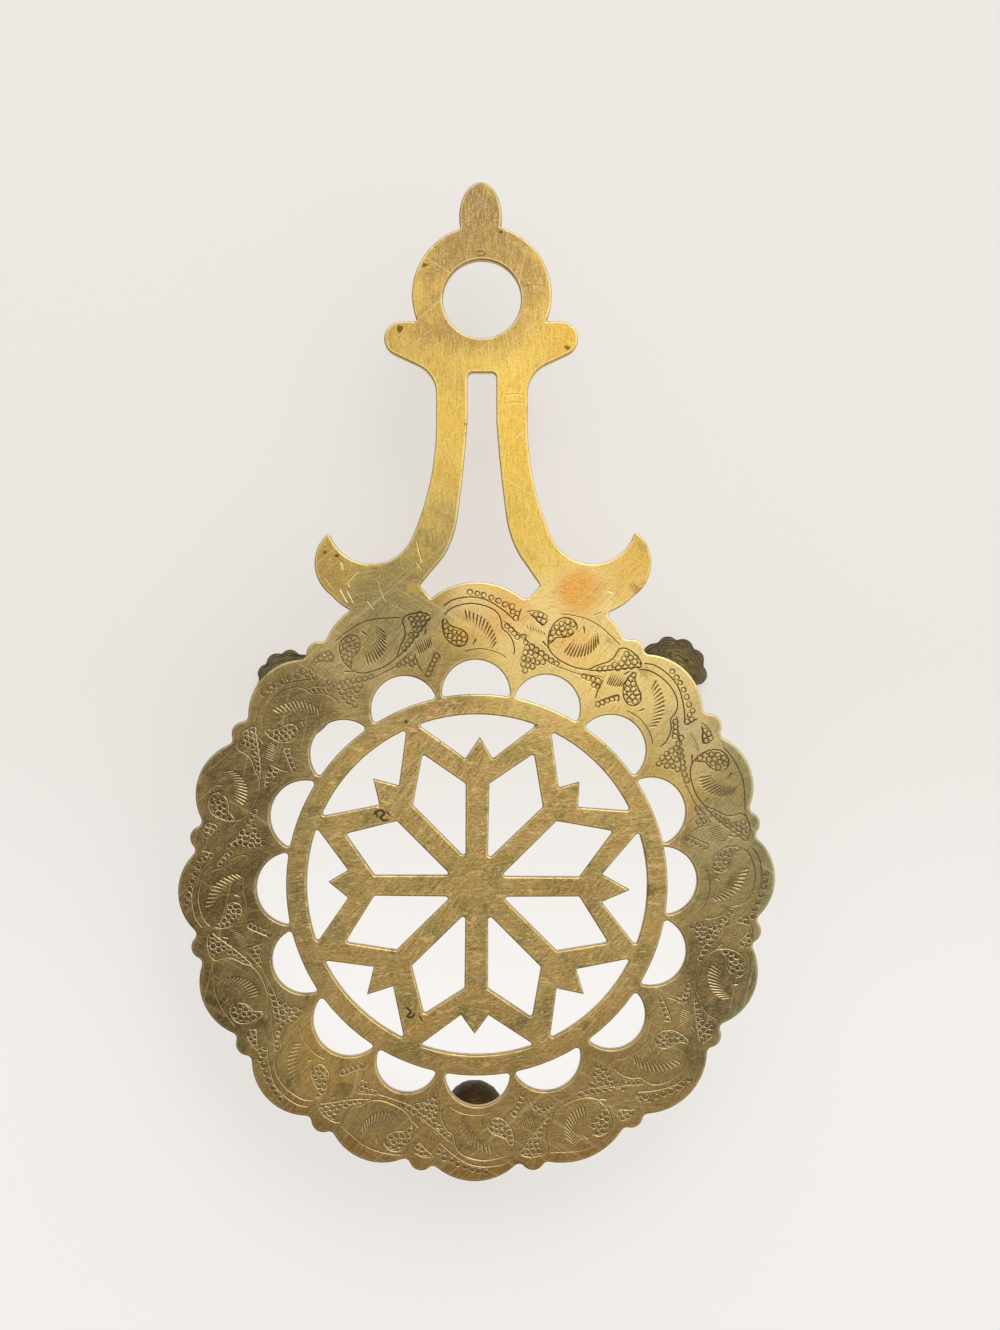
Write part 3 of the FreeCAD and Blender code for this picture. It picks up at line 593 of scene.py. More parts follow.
# Sets the two motifs round the rim in turn, lets the hand wander, and rings every bead
def layoutTree():
    tree = bpy.data.node_groups.new("rimEngraving", "GeometryNodeTree")
    face = tree.interface
    face.new_socket(name="Geometry", in_out="OUTPUT", socket_type="NodeSocketGeometry")
    names = {"Geometry": "Geometry", "Even Motif": "Object", "Odd Motif": "Object", "Lobe Turn": "Float",
             "Swing Radius": "Float", "Bead Radius": "Float", "Bead Sides": "Int", "Wobble": "Float",
             "Seed": "Int", "Finish": "Material"}
    keys = {}
    for name, kind in names.items():
        keys[name] = face.new_socket(name=name, in_out="INPUT", socket_type="NodeSocket" + kind).identifier
    web = Web(tree)
    entry = web.add("NodeGroupInput")
    given = {name: entry.part(name) for name in names}
    index = web.add("GeometryNodeInputIndex")
    swing = web.add("GeometryNodeInputNamedAttribute", {"data_type": "FLOAT"}, {"Name": "swing"})
    turn = (index * given["Lobe Turn"] + swing / given["Swing Radius"]) * -1
    lean = web.add("ShaderNodeCombineXYZ", {}, {"Z": turn})
    isOdd = index.sum("MODULO", index, 2)
    halves = []
    for motif, share in (("Even Motif", 1 - isOdd), ("Odd Motif", isOdd)):
        shape = web.add("GeometryNodeObjectInfo", {}, {"Object": given[motif]}, "Geometry")
        halves.append(web.add("GeometryNodeInstanceOnPoints", {}, {
            "Points": given["Geometry"], "Selection": share, "Instance": shape, "Rotation": lean}))
    laid = web.add("GeometryNodeRealizeInstances", {}, {"Geometry": web.join(halves)})
    drift = web.add("ShaderNodeTexNoise", {"noise_dimensions": "4D"}, {
        "W": given["Seed"], "Scale": engraving["wobbleScale"]}, "Color")
    drift = web.add("ShaderNodeVectorMath", {"operation": "SUBTRACT"}, {0: drift, 1: (0.5, 0.5, 0.5)})
    drift = web.add("ShaderNodeVectorMath", {"operation": "MULTIPLY"}, {0: drift, 1: (1, 1, 0)})
    drift = web.add("ShaderNodeVectorMath", {"operation": "SCALE"}, {0: drift, "Scale": given["Wobble"]})
    laid = web.add("GeometryNodeSetPosition", {}, {"Geometry": laid, "Offset": drift})
    isBead = web.add("GeometryNodeInputNamedAttribute", {"data_type": "FLOAT"}, {"Name": "isBead"})
    beadTest = web.add("FunctionNodeCompare", {"data_type": "FLOAT"}, {"A": isBead, "B": 0.5})
    beads = web.add("GeometryNodeSeparateGeometry", {"domain": "POINT"}, {
        "Geometry": laid, "Selection": beadTest})
    lines = beads.part(1)
    ring = web.add("GeometryNodeMeshCircle", {}, {
        "Vertices": given["Bead Sides"], "Radius": given["Bead Radius"]})
    least, most = engraving["beadSizes"]
    size = web.add("FunctionNodeRandomValue", {"data_type": "FLOAT"}, {
        2: least, 3: most, "Seed": given["Seed"]}, 1)
    spin = web.add("FunctionNodeRandomValue", {"data_type": "FLOAT"}, {
        2: 0.0, 3: 6.28, "Seed": given["Seed"]}, 1)
    spin = web.add("ShaderNodeCombineXYZ", {}, {"Z": spin})
    rings = web.add("GeometryNodeInstanceOnPoints", {}, {
        "Points": beads, "Instance": ring, "Scale": size, "Rotation": spin})
    rings = web.add("GeometryNodeRealizeInstances", {}, {"Geometry": rings})
    coated = web.add("GeometryNodeSetMaterial", {}, {
        "Geometry": web.join((lines, rings)), "Material": given["Finish"]})
    web.add("NodeGroupOutput", {}, {"Geometry": coated})
    return tree, keys


# The engraving's lines and rings as plain numbers, in millimetres
def layOut():
    cut = engraving
    even, odd = evenLobe(), oddLobe()
    count = middle["lobes"]
    places = []
    for k in range(count):
        lift = (cut["evenLift"], cut["oddLift"])[k % 2][k // 2] * mm
        turn = 2 * math.pi * k / count
        places.append((middle["x"] + lift * math.sin(turn), middle["y"] + lift * math.cos(turn), 0))
    spots = newMesh("lobePoints", places, [])
    swings = [(cut["evenSwing"], cut["oddSwing"])[k % 2][k // 2] * mm for k in range(count)]
    setValues(spots, "swing", swings)
    holder = newPiece("engravingLayout", spots)
    tree, keys = layoutTree()
    modifier = holder.modifiers.new("layout", "NODES")
    modifier.node_group = tree
    settings = {"Even Motif": even, "Odd Motif": odd, "Lobe Turn": 2 * math.pi / count,
                "Swing Radius": middle["swingRadius"], "Bead Radius": cut["beadRadius"],
                "Bead Sides": cut["beadSides"], "Wobble": cut["wobble"], "Seed": cut["seed"],
                "Finish": scratchedBrass}
    for name, value in settings.items():
        modifier[keys[name]] = value
    seen = holder.evaluated_get(bpy.context.evaluated_depsgraph_get())
    flat = bpy.data.meshes.new_from_object(seen)
    places = np.zeros(len(flat.vertices) * 3)
    flat.vertices.foreach_get("co", places)
    places = places.reshape(-1, 3)[:, :2] / mm
    widths = np.zeros(len(flat.vertices))
    flat.attributes["cutWidth"].data.foreach_get("value", widths)
    ends = np.zeros(len(flat.edges) * 2, int)
    flat.edges.foreach_get("vertices", ends)
    for piece in (holder, even, odd):
        bpy.data.objects.remove(piece)
    return places, widths / mm, ends.reshape(-1, 2)


# Runs of joined edges: open ones from end to end, then the closed ones
def chains(count, ends):
    near = [[] for _ in range(count)]
    for a, b in ends:
        near[a].append(b)
        near[b].append(a)
    used = [False] * count
    runs = []
    for wanted in (1, 2):
        for start in range(count):
            if used[start] or len(near[start]) != wanted:
                continue
            run = [start]
            used[start] = True
            while True:
                onward = [k for k in near[run[-1]] if not used[k]]
                if not onward:
                    break
                run.append(onward[0])
                used[onward[0]] = True
            runs.append((wanted == 2, run))
    return runs


# Plate: the CAD outline, its worn edges and the engraving, cut as real grooves
plateShape = {
    "edgeDrop": 0.45,                # how far the worn edge falls, in millimetres
    "edgeRings": (0.06, 0.2, 0.45, 1.1),     # rows of points that carry the worn edge
    "spacing": 1.1,                  # longest step along an outline
    "headRadius": 4.2,               # smaller outlines are shank holes, dressed flush and engraved over
    "underRows": (0.3, 1.05),        # rows that the underside repeats, as shares of the edge drop
    "sharpAngle": 40,
    "limit": 1e-4,                   # points nearer than this are taken as one
}


# The loops round the top face of the CAD plate, in millimetres
def plateOutlines():
    grown = bmesh.new()
    grown.from_mesh(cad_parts[plateNode].data)
    bmesh.ops.remove_doubles(grown, verts=grown.verts, dist=1e-6)
    grown.verts.ensure_lookup_table()
    upper = {face for face in grown.faces
             if face.normal.z > 0.99 and all(vert.co.z > plateTop - 1e-6 for vert in face.verts)}
    ends = [[vert.index for vert in edge.verts] for edge in grown.edges
            if sum(face in upper for face in edge.link_faces) == 1]
    loops = []
    for _, run in chains(len(grown.verts), ends):
        points = np.array([grown.verts[k].co[:2] for k in run]) / mm
        onward = np.roll(points, -1, 0)
        area = np.sum(points[:, 0] * onward[:, 1] - onward[:, 0] * points[:, 1]) / 2
        if abs(area) > math.pi * plateShape["headRadius"] ** 2:
            loops.append((abs(area), points if area > 0 else points[::-1]))
    grown.free()
    loops.sort(key=lambda entry: -entry[0])
    full = []
    for order, (_, points) in enumerate(loops):
        dense = []
        for start, end in zip(points, np.roll(points, -1, 0)):
            steps = max(1, math.ceil(np.linalg.norm(end - start) / plateShape["spacing"]))
            dense += [start + (end - start) * step / steps for step in range(steps)]
        full.append({"points": np.array(dense), "inward": 1 if order == 0 else -1})
    return full


# Points and lines for the flat triangulation, inside four far corners
class Drawing:
    def __init__(self):
        self.points = []
        self.lines = []

    def triangulated(self):
        far = 2 * plateHigh.y / mm
        corners = [Vector(corner) for corner in ((-far, -far), (far, -far), (far, far), (-far, far))]
        return delaunay_2d_cdt(self.points + corners, self.lines, [], 0, plateShape["limit"])

    def chain(self, points, closed):
        first = len(self.points)
        self.points += [Vector(point) for point in points]
        self.lines += [(k, k + 1) for k in range(first, len(self.points) - 1)]
        if closed:
            self.lines.append((len(self.points) - 1, first))


# The two edges of a groove along a run of points
def sidePoints(points, halves, closed):
    if closed:
        way = np.roll(points, -1, 0) - np.roll(points, 1, 0)
    else:
        way = np.gradient(points, axis=0)
    way /= np.linalg.norm(way, axis=1)[:, None] + 1e-12
    left = np.stack([-way[:, 1], way[:, 0]], 1)
    return points + left * halves[:, None], points - left * halves[:, None]


# How far along a straight span each spot lies, as a share, and how far off it
def offSpan(spots, start, span):
    offset = spots - start
    share = np.clip(offset @ span / (span @ span), 0, 1)
    return share, np.linalg.norm(offset - share[:, None] * span, axis=1)


# For each centre, which places lie within reach of it on both axes
def spread(places, centres, reach):
    order = np.argsort(places[:, 0])
    across = places[order, 0]
    for centre, far in zip(centres, reach):
        first = np.searchsorted(across, centre[0] - far)
        last = np.searchsorted(across, centre[0] + far)
        some = order[first:last]
        yield some[np.abs(places[some, 1] - centre[1]) <= far]


# The top face, triangulated round its outline and its cuts, with every point's height
def cutFace():
    shape, cut = plateShape, engraving
    loops = plateOutlines()
    drawing = Drawing()
    edgePoints = []
    for loop in loops:
        drawing.chain(loop["points"], True)
    borderLines = len(drawing.lines)
    for loop in loops:
        points = loop["points"]
        for inset in shape["edgeRings"]:
            halves = np.full(len(points), inset * loop["inward"])
            edgePoints += list(sidePoints(points, halves, True)[0])
    drawing.points += [Vector(point) for point in edgePoints]

    grooves, beads = [], []

    def cutAlong(points, halves, shade):
        drawing.chain(points, False)
        for side in sidePoints(points, halves, False):
            drawing.chain([points[0], *side[1:-1], points[-1]], False)
        grooves.append((points, halves, shade))

    places, widths, ends = layOut()
    for closed, run in chains(len(places), ends):
        points = places[run]
        if closed:
            centre = points.mean(0)
            radius = np.linalg.norm(points - centre, axis=1).mean()
            beads.append((centre, radius))
            drawing.points.append(Vector(centre))
            for ring in (cut["beadFlat"] * radius, radius, radius + cut["beadWall"] / mm):
                drawing.chain(centre + (points - centre) * (ring / radius), True)
        else:
            cutAlong(points, widths[run] / 2, 0)
    for width, shade, line in scars.values():
        points = np.array(smoothLine(line, cut["lineStep"]))
        halves = np.full(len(points), width / 2)
        halves[[0, -1]] = 0
        cutAlong(points, halves, shade)
    print("engraving laid out:", len(grooves), "cuts and", len(beads), "beads")

    points, edges, faces, _, fromLines, _ = drawing.triangulated()
    flat = np.array([point[:] for point in points])
    triangles = np.array(faces)
    edges = np.array(edges)
    isBorder = np.array([any(line < borderLines for line in source) for source in fromLines])
    kept = insideFaces(flat, triangles, edges, isBorder, [loop["points"] for loop in loops])
    triangles = triangles[kept]
    print("plate face:", len(flat), "points,", len(triangles), "triangles")

    depth = np.zeros(len(flat))
    mark = np.zeros(len(flat))
    rubbed = np.zeros(len(flat))
    lineDepth = cut["lineDepth"] / mm
    fullHalf = cut["lineWidth"] / mm / 2
    starts = np.concatenate([points[:-1] for points, _, _ in grooves])
    stops = np.concatenate([points[1:] for points, _, _ in grooves])
    halfStarts = np.concatenate([halves[:-1] for _, halves, _ in grooves])
    halfStops = np.concatenate([halves[1:] for _, halves, _ in grooves])
    shades = np.concatenate([np.full(len(halves) - 1, shade) for _, halves, shade in grooves])
    spans = stops - starts
    reach = np.linalg.norm(spans, axis=1) / 2 + np.maximum(halfStarts, halfStops)
    for k, some in enumerate(spread(flat, (starts + stops) / 2, reach)):
        share, away = offSpan(flat[some], starts[k], spans[k])
        half = np.maximum(halfStarts[k] * (1 - share) + halfStops[k] * share, 1e-4)
        fall = np.clip(1 - away / half, 0, 1) * np.minimum(1, half / fullHalf)
        if shades[k]:
            depth[some] = np.maximum(depth[some], fall * lineDepth * cut["scarDepth"])
            rubbed[some] = np.where(fall > np.abs(rubbed[some]), fall * shades[k], rubbed[some])
            continue
        depth[some] = np.maximum(depth[some], fall * lineDepth)
        mark[some] = np.maximum(mark[some], np.minimum(1, fall * cut["darkening"]))
    wall = cut["beadWall"] / mm
    beadDepth = cut["beadDepth"] / mm
    nearBeads = spread(flat, [centre for centre, _ in beads], [radius + wall for _, radius in beads])
    for (centre, radius), some in zip(beads, nearBeads):
        offset = flat[some] - centre
        away = np.linalg.norm(offset, axis=1) / radius
        fall = np.where(away < 1, away ** cut["beadDome"], np.clip(1 - (away - 1) * radius / wall, 0, 1))
        lean = centre[0] * 0.7 + centre[1]       # wanders from bead to bead
        toward = offset @ [math.cos(lean * 0.3 - 0.9), math.sin(lean * 0.3 - 0.9)] / radius
        deeper = 1 - cut["beadTilt"] * (1 - toward) / 2
        depth[some] = np.maximum(depth[some], fall * beadDepth * deeper)
        mark[some] = np.maximum(mark[some], np.where(away < 1, np.clip(away * 3 - 1.8, 0, 1), fall) * deeper)

    nearest = edgeDistance(flat, edges[isBorder])
    drop = edgeFall(nearest)
    wear = np.clip(1 - nearest / shape["edgeRings"][-1], 0, 1)
    top = np.column_stack([flat, plateTop / mm - np.maximum(depth, drop)])
    return top, triangles, edges[isBorder], nearest, {"engraved": mark, "edge": wear, "rubbed": rubbed}, loops


# How far each point is from the worn outlines, up to a little past the last row
def edgeDistance(flat, lines):
    shape = plateShape
    starts = flat[lines[:, 0]]
    spans = flat[lines[:, 1]] - starts
    reach = np.linalg.norm(spans, axis=1) / 2 + shape["edgeRings"][-1] * 1.2
    nearest = np.full(len(flat), 9.0)            # farther than any row
    for k, some in enumerate(spread(flat, starts + spans / 2, reach)):
        nearest[some] = np.minimum(nearest[some], offSpan(flat[some], starts[k], spans[k])[1])
    return nearest


def edgeFall(nearest):               # a quarter round
    radius = plateShape["edgeDrop"]
    inside = np.clip(radius - nearest, 0, radius)
    return radius - np.sqrt(np.maximum(radius ** 2 - inside ** 2, 0))


# Which triangles lie in the brass: flood from face to face, never over an outline
def insideFaces(flat, triangles, edges, isBorder, loops):
    outlines = {(min(a, b), max(a, b)) for a, b in edges[isBorder].tolist()}
    sides = np.sort(np.stack([triangles, np.roll(triangles, -1, 1)], 2).reshape(-1, 2), axis=1)
    owners = {}
    for k, (a, b) in enumerate(sides.tolist()):
        owners.setdefault((a, b), []).append(k // 3)
    near = [[] for _ in triangles]
    for key, both in owners.items():
        if len(both) == 2 and key not in outlines:
            near[both[0]].append(both[1])
            near[both[1]].append(both[0])
    state = np.full(len(triangles), -1)
    for seed in range(len(triangles)):
        if state[seed] >= 0:
            continue
        centre = flat[triangles[seed]].mean(0)
        crossings = 0
        for loop in loops:
            onward = np.roll(loop, -1, 0)
            spans = (loop[:, 1] > centre[1]) != (onward[:, 1] > centre[1])
            share = (centre[1] - loop[spans, 1]) / (onward[spans, 1] - loop[spans, 1])
            crossings += np.sum(loop[spans, 0] + share * (onward[spans, 0] - loop[spans, 0]) > centre[0])
        value = int(crossings) % 2
        state[seed] = value
        queue = [seed]
        while queue:
            for other in near[queue.pop()]:
                if state[other] < 0:
                    state[other] = value
                    queue.append(other)
    return state == 1


def renumber(faces, count):          # only the points that faces use
    used = np.unique(faces)
    index = np.full(count, -1)
    index[used] = np.arange(len(used))
    return used, index


# The cut face, walls down from its outlines, and a plain underside
def buildPlate():
    top, triangles, border, nearest, marks, loops = cutFace()
    radius = plateShape["edgeDrop"]
    inner, outer = plateShape["underRows"]
    rim = np.unique(border)
    ring = np.flatnonzero((nearest > radius * inner) & (nearest < radius * outer))
    below = Drawing()
    below.points = [Vector(point) for point in top[np.concatenate([rim, ring]), :2]]
    local = np.full(len(top), -1)
    local[rim] = np.arange(len(rim))
    below.lines = [(int(a), int(b)) for a, b in local[border]]
    points, edges, faces, fromPoints, _, _ = below.triangulated()
    flat = np.array([point[:] for point in points])
    lowOf = np.zeros(len(below.points) + 4, int)
    for k, sources in enumerate(fromPoints):
        lowOf[sources] = k
    lowBorder = lowOf[local[border]]
    edges = np.array(edges)
    isBorder = np.isin(np.sort(edges, 1) @ [len(flat), 1], np.sort(lowBorder, 1) @ [len(flat), 1])
    lowFaces = np.array(faces)
    lowFaces = lowFaces[insideFaces(flat, lowFaces, edges, isBorder, [loop["points"] for loop in loops])]
    low = np.column_stack([flat, plateBottom / mm + edgeFall(edgeDistance(flat, lowBorder))])

    used, index = renumber(triangles, len(top))
    lowUsed, lowIndex = renumber(lowFaces, len(low))
    triangles = index[triangles]
    lowFaces, lowBorder, low = lowIndex[lowFaces], lowIndex[lowBorder], low[lowUsed]
    shift = len(used)
    facing = {}
    for a, b, c in triangles.tolist():
        facing[(a, b)] = facing[(b, c)] = facing[(c, a)] = True
    walls = []
    for (a, b), (lowA, lowB) in zip(index[border].tolist(), lowBorder.tolist()):
        if (b, a) in facing:
            a, b, lowA, lowB = b, a, lowB, lowA
        if (a, b) in facing:
            walls += [(a, lowA + shift, lowB + shift), (a, lowB + shift, b)]
    walls = np.array(walls)
    places = np.concatenate([top[used], low]) * mm
    faces = np.concatenate([triangles, walls, lowFaces[:, ::-1] + shift])
    mesh = newMesh("engravedPlate", places.tolist(), faces.tolist())
    smooth = np.zeros(len(faces), bool)
    near = nearest[used] < radius * outer
    smooth[:len(triangles)] = near[triangles].all(1)
    smooth[len(triangles):len(triangles) + len(walls)] = True
    mesh.set_sharp_from_angle(angle=math.radians(plateShape["sharpAngle"]))
    mesh.polygons.foreach_set("use_smooth", smooth)
    for label, values in marks.items():
        setValues(mesh, label, np.concatenate([values[used], np.zeros(len(low))]))
    mesh.materials.append(scratchedBrass)
    print("plate built:", len(mesh.polygons), "triangles")
    return newPiece("engravedPlate", mesh)


plate = buildPlate()
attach(plate, "root")
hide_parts(plateNode)


# Feet: one cast paw, grown from rounded masses, then set under the rim three times. The shank is at
# 0, 0, the toes point along y and the sole is at 0. Lengths are in millimetres
paw = {
    "places": {                      # turn, share of the reach, size, twist
        "foot_right": (46.3, 1.027, 1.0, -20),
        "foot_front": (180.9, 0.99, 0.97, 0),
        "foot_left": (313.3, 0.988, 0.93, 14),
    },
    "reach": 78.0,
    "padRadius": 7.6,
    "padThickness": 2.4,
    "padEdge": 0.5,
    "waistRadius": 4.7,
    "waistHeight": 24.0,
    "collarFlare": 1.5,
    "collarRise": 6.6,
    "ankleHeight": 13.0,
    "ankleRadius": 7.6,
    "heel": ((0, -2.0, 8.7), 9.4),
    "palm": ((0, 5.0, 6.5), 8.2),
    "instep": ((0, 1.5, 12.5), 5.4),
    "toes": 5,
    "toePitch": 35,
    "toeRoot": 8.6,
    "knuckleSpread": 4.2,
    "knuckleHeight": 8.4,
    "knuckleRadius": 3.8,
    "tipSpread": 8.1,
    "tipHeight": 3.2,
    "tipRadius": 3.3,
    "fillets": {"form": 3.0, "leg": 2.0, "claw": 0.8, "toes": 1.2, "pad": 0.8},
    "fileDepth": 0.05,
    "filePitch": 1.5,
    "fileStart": 5,                  # over this length forwards the file marks set in
    "fileCentre": 0.6,               # the marks' own middle, as a share of the toe root
    "fileSlant": 0.5,
    "lumpDepth": 0.16,
    "soleEase": (1, 5),              # from that height up lumps and marks set in, over so much
    "waistEase": (17, 4),            # at that height they have ended, again over so much
    "softening": 6,                  # rounds of smoothing that show what is raised
    "raisedGain": 2.2,
    "heelSpans": (9, 22),            # back and sideways, until the painted shade is full
    "room": ((-13, -14, -1), (13, 22, 34)),  # the box in which the skin is looked for
    "step": 0.42,
}


def fromBall(spots, ball):
    centre, radius = ball
    return np.linalg.norm(spots - np.array(centre), axis=1) - radius


# Distance from a tapered limb between two balls
def fromLimb(spots, start, end):
    first = np.array(start[0])
    share, away = offSpan(spots, first, np.array(end[0]) - first)
    return away - (start[1] * (1 - share) + end[1] * share)


def melt(first, second, width):      # joins two masses with a soft fillet
    share = np.clip(0.5 + 0.5 * (second - first) / width, 0, 1)
    return second * (1 - share) + first * share - width * share * (1 - share)


# How far each spot is from the paw's skin. Below zero is inside
def pawField(spots):
    across, along, height = spots.T
    out = np.hypot(across, along)
    top = plateBottom / mm
    rise = height - paw["waistHeight"]
    drop = paw["waistHeight"] - paw["ankleHeight"]
    lower = (paw["ankleRadius"] - paw["waistRadius"]) * (rise / drop) ** 2
    flare = np.where(rise < 0, lower, paw["collarFlare"] * (rise / paw["collarRise"]) ** 2)
    leg = np.maximum(out - paw["waistRadius"] - flare, np.maximum(paw["ankleHeight"] - height, height - top))
    half = paw["padThickness"] / 2
    easing = paw["padEdge"]
    sideways = out - paw["padRadius"] + easing
    upright = np.abs(height - top + half) - half + easing
    pad = np.hypot(np.maximum(sideways, 0), np.maximum(upright, 0))
    pad = pad + np.minimum(np.maximum(sideways, upright), 0) - easing
    soft = paw["fillets"]
    body = melt(fromBall(spots, paw["heel"]), fromBall(spots, paw["palm"]), soft["form"])
    body = melt(body, fromBall(spots, paw["instep"]), soft["form"])
    body = melt(body, leg, soft["leg"])
    claws = None
    for k in range(paw["toes"]):
        turn = math.radians(paw["toePitch"]) * (k - (paw["toes"] - 1) / 2)
        lean = np.array([math.sin(turn), math.cos(turn)])
        knuckle = (*(lean * paw["knuckleSpread"] + (0, paw["toeRoot"])), paw["knuckleHeight"])
        tip = (*(lean * paw["tipSpread"] + (0, paw["toeRoot"])), paw["tipHeight"])
        toe = fromLimb(spots, paw["instep"], (knuckle, paw["knuckleRadius"]))
        claw = fromLimb(spots, (knuckle, paw["knuckleRadius"]), (tip, paw["tipRadius"]))
        toe = melt(toe, claw, soft["claw"])
        claws = toe if claws is None else melt(claws, toe, soft["toes"])
    body = melt(body, claws, soft["toes"])
    lumps = np.sin(across * 1.5 + height * 0.7) * np.sin(along * 1.7 + 1)
    lumps = lumps * np.sin(height * 1.3 + across * 0.5)
    filed = np.sin(fileLine(spots) * 2 * math.pi / paw["filePitch"]) * np.clip(along / paw["fileStart"], 0, 1)
    (low, above), (high, below) = paw["soleEase"], paw["waistEase"]
    offSole = np.clip((height - low) / above, 0, 1)
    offWaist = np.clip((high - height) / below, 0, 1)
    body = body - (lumps * paw["lumpDepth"] + filed * paw["fileDepth"]) * offSole * offWaist
    body = melt(body, pad, soft["pad"])
    return np.maximum(body, -height)


def fileLine(spots):                 # file marks run round the toes: this stays the same along each one
    forward = spots[:, 1] - paw["toeRoot"] * paw["fileCentre"]
    return np.hypot(spots[:, 0], forward) - spots[:, 2] * paw["fileSlant"]


# Moves each spot onto the skin
def settled(field, spots, reach):
    for _ in range(4):
        value = field(spots)
        tiny = 0.02
        slope = np.stack([field(spots + step) - value for step in np.eye(3) * tiny], 1) / tiny
        move = slope * (value / np.maximum((slope ** 2).sum(1), 0.2))[:, None]
        spots = spots - np.clip(move, -reach, reach)
    return spots


def averaged(spots, faces):          # each spot moved to the middle of its neighbours
    ends = np.concatenate([faces[:, [k, (k + 1) % 4]] for k in range(4)])
    total = np.zeros_like(spots)
    np.add.at(total, ends[:, 0], spots[ends[:, 1]])
    return total / np.bincount(ends[:, 0], minlength=len(spots))[:, None]


# A closed mesh of four-sided faces round the inside of a field
def skinOf(field, low, high, step):
    axes = [np.arange(start, stop + step, step) for start, stop in zip(low, high)]
    grid = np.stack(np.meshgrid(*axes, indexing="ij"), -1)
    inside = field(grid.reshape(-1, 3)).reshape(grid.shape[:3]) < 0
    wide, deep, tall = np.array(inside.shape) - 1
    cells = sum(inside[a:a + wide, b:b + deep, c:c + tall].astype(int)
                for a in (0, 1) for b in (0, 1) for c in (0, 1))
    mixed = (cells > 0) & (cells < 8)
    index = np.full(mixed.shape, -1)
    index[mixed] = np.arange(mixed.sum())
    spots = grid[:-1, :-1, :-1][mixed] + step / 2
    faces = []
    for axis in range(3):
        second, third = (axis + 1) % 3, (axis + 2) % 3
        ahead = np.roll(inside, -1, axis)
        crossing = inside != ahead
        where = np.argwhere(crossing)
        whole = (where[:, axis] < inside.shape[axis] - 1) & (where[:, second] > 0) & (where[:, third] > 0)
        where = where[whole]
        back, side = np.eye(3, dtype=int)[second], np.eye(3, dtype=int)[third]
        corners = (where, where - back, where - back - side, where - side)
        quad = np.stack([index[tuple(cell.T)] for cell in corners], 1)
        outward = inside[tuple(where.T)]
        faces.append(np.where(outward[:, None], quad, quad[:, ::-1]))
    faces = np.concatenate(faces)
    for _ in range(2):
        spots = settled(field, averaged(spots, faces), step)
    return spots, faces


castBrass = {
    "deep": tone(44, 38, 22),
    "body": tone(92, 82, 50),
    "raised": tone(180, 158, 100),
    "brown": tone(98, 74, 42),
    "heelShade": tone(40, 28, 16),
    "rough": 0.42,
    "bump": 0.5,
    "bumpDepth": 0.25 * mm,
    "cloud": (120, 4, 0.6),          # noises: scale, detail, roughness
    "grain": (900, 4, 0.65),
    "combing": (3.4, 5),             # across the file marks, and how much the cloud shifts them
}


# Unpolished casting: dark in the hollows, rubbed on the high places, with painted shade on the heel under the
# plate
def castFinish():
    material, web = newFinish("castBrass")
    brass = castBrass
    place = web.add("ShaderNodeTexCoord", {}, {}, 3)
    filed, raised, heel = [web.attribute(name) for name in ("filed", "raised", "heel")]
    cloud = web.noise(place, *brass["cloud"])
    grain = web.noise(place, *brass["grain"])
    marks, shift = brass["combing"]
    strand = web.add("ShaderNodeCombineXYZ", {}, {"X": filed * marks, "Y": cloud * shift})
    combed = web.add("ShaderNodeTexNoise", {"noise_dimensions": "2D"}, {
        "Vector": strand, "Scale": 1.0, "Detail": 3.0, "Roughness": 0.6})
    plain = web.coat(brass["body"], brass, [
        ("brown", cloud.rise(0.45, 0.65) * 0.6),
        ("deep", (1 - raised.rise(0.25, 0.55)) * 0.85),
        ("raised", (raised.rise(0.4, 0.9) * 0.6 + 0.4) * combed.rise(0.5, 0.6) * 0.7),
        ("deep", (1 - combed.rise(0.38, 0.5)) * 0.85),
        ("brown", heel.rise(0.3, 0.7) * 0.5),
        # painted shade: the heel's back and sides darker, where the plate shades them
        ("heelShade", heel.rise(0.7, 1.15) * 0.7),
    ])
    roughness = brass["rough"] + (1 - raised) * 0.2 + (grain - 0.5) * 0.15
    web.metal(plain, roughness, combed * 0.7 + grain * 0.35, brass["bump"], brass["bumpDepth"])
    return material


def buildFeet():
    finish = castFinish()
    spots, faces = skinOf(pawField, *paw["room"], paw["step"])
    smooth = spots
    for _ in range(paw["softening"]):            # what stands out from the softened copy is raised
        smooth = averaged(smooth, faces)
    slope = np.stack([pawField(spots + step) - pawField(spots - step) for step in np.eye(3) * 0.05], 1)
    slope /= np.linalg.norm(slope, axis=1)[:, None] + 1e-9
    raised = np.clip(0.5 + ((spots - smooth) * slope).sum(1) * paw["raisedGain"], 0, 1)
    lines = fileLine(spots)
    back, aside = paw["heelSpans"]
    heel = np.clip(-spots[:, 1] / back + np.abs(spots[:, 0]) / aside, 0, 1.2)
    for node, (turn, share, size, twist) in paw["places"].items():
        angle = math.radians(turn)
        shank = np.array([math.sin(angle), math.cos(angle)]) * paw["reach"] * share
        angle = math.radians(turn + twist)
        ahead = np.array([math.sin(angle), math.cos(angle)])
        right = np.array([ahead[1], -ahead[0]])
        flat = (spots[:, :1] * right + spots[:, 1:2] * ahead) * size + shank
        flat += np.array([middle["x"], middle["y"]]) / mm
        places = np.column_stack([flat, spots[:, 2]]) * mm
        name = "paw" + node.removeprefix("foot").replace("_r", "R").replace("_f", "F").replace("_l", "L")
        mesh = newMesh(name, places.tolist(), faces.tolist())
        mesh.shade_smooth()
        for label, values in (("filed", lines + turn), ("raised", raised), ("heel", heel)):
            setValues(mesh, label, values)
        mesh.materials.append(finish)
        piece = newPiece(name, mesh)
        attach(piece, "root")
        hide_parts(node)
    print("feet built:", len(faces) * 2, "triangles each")


buildFeet()


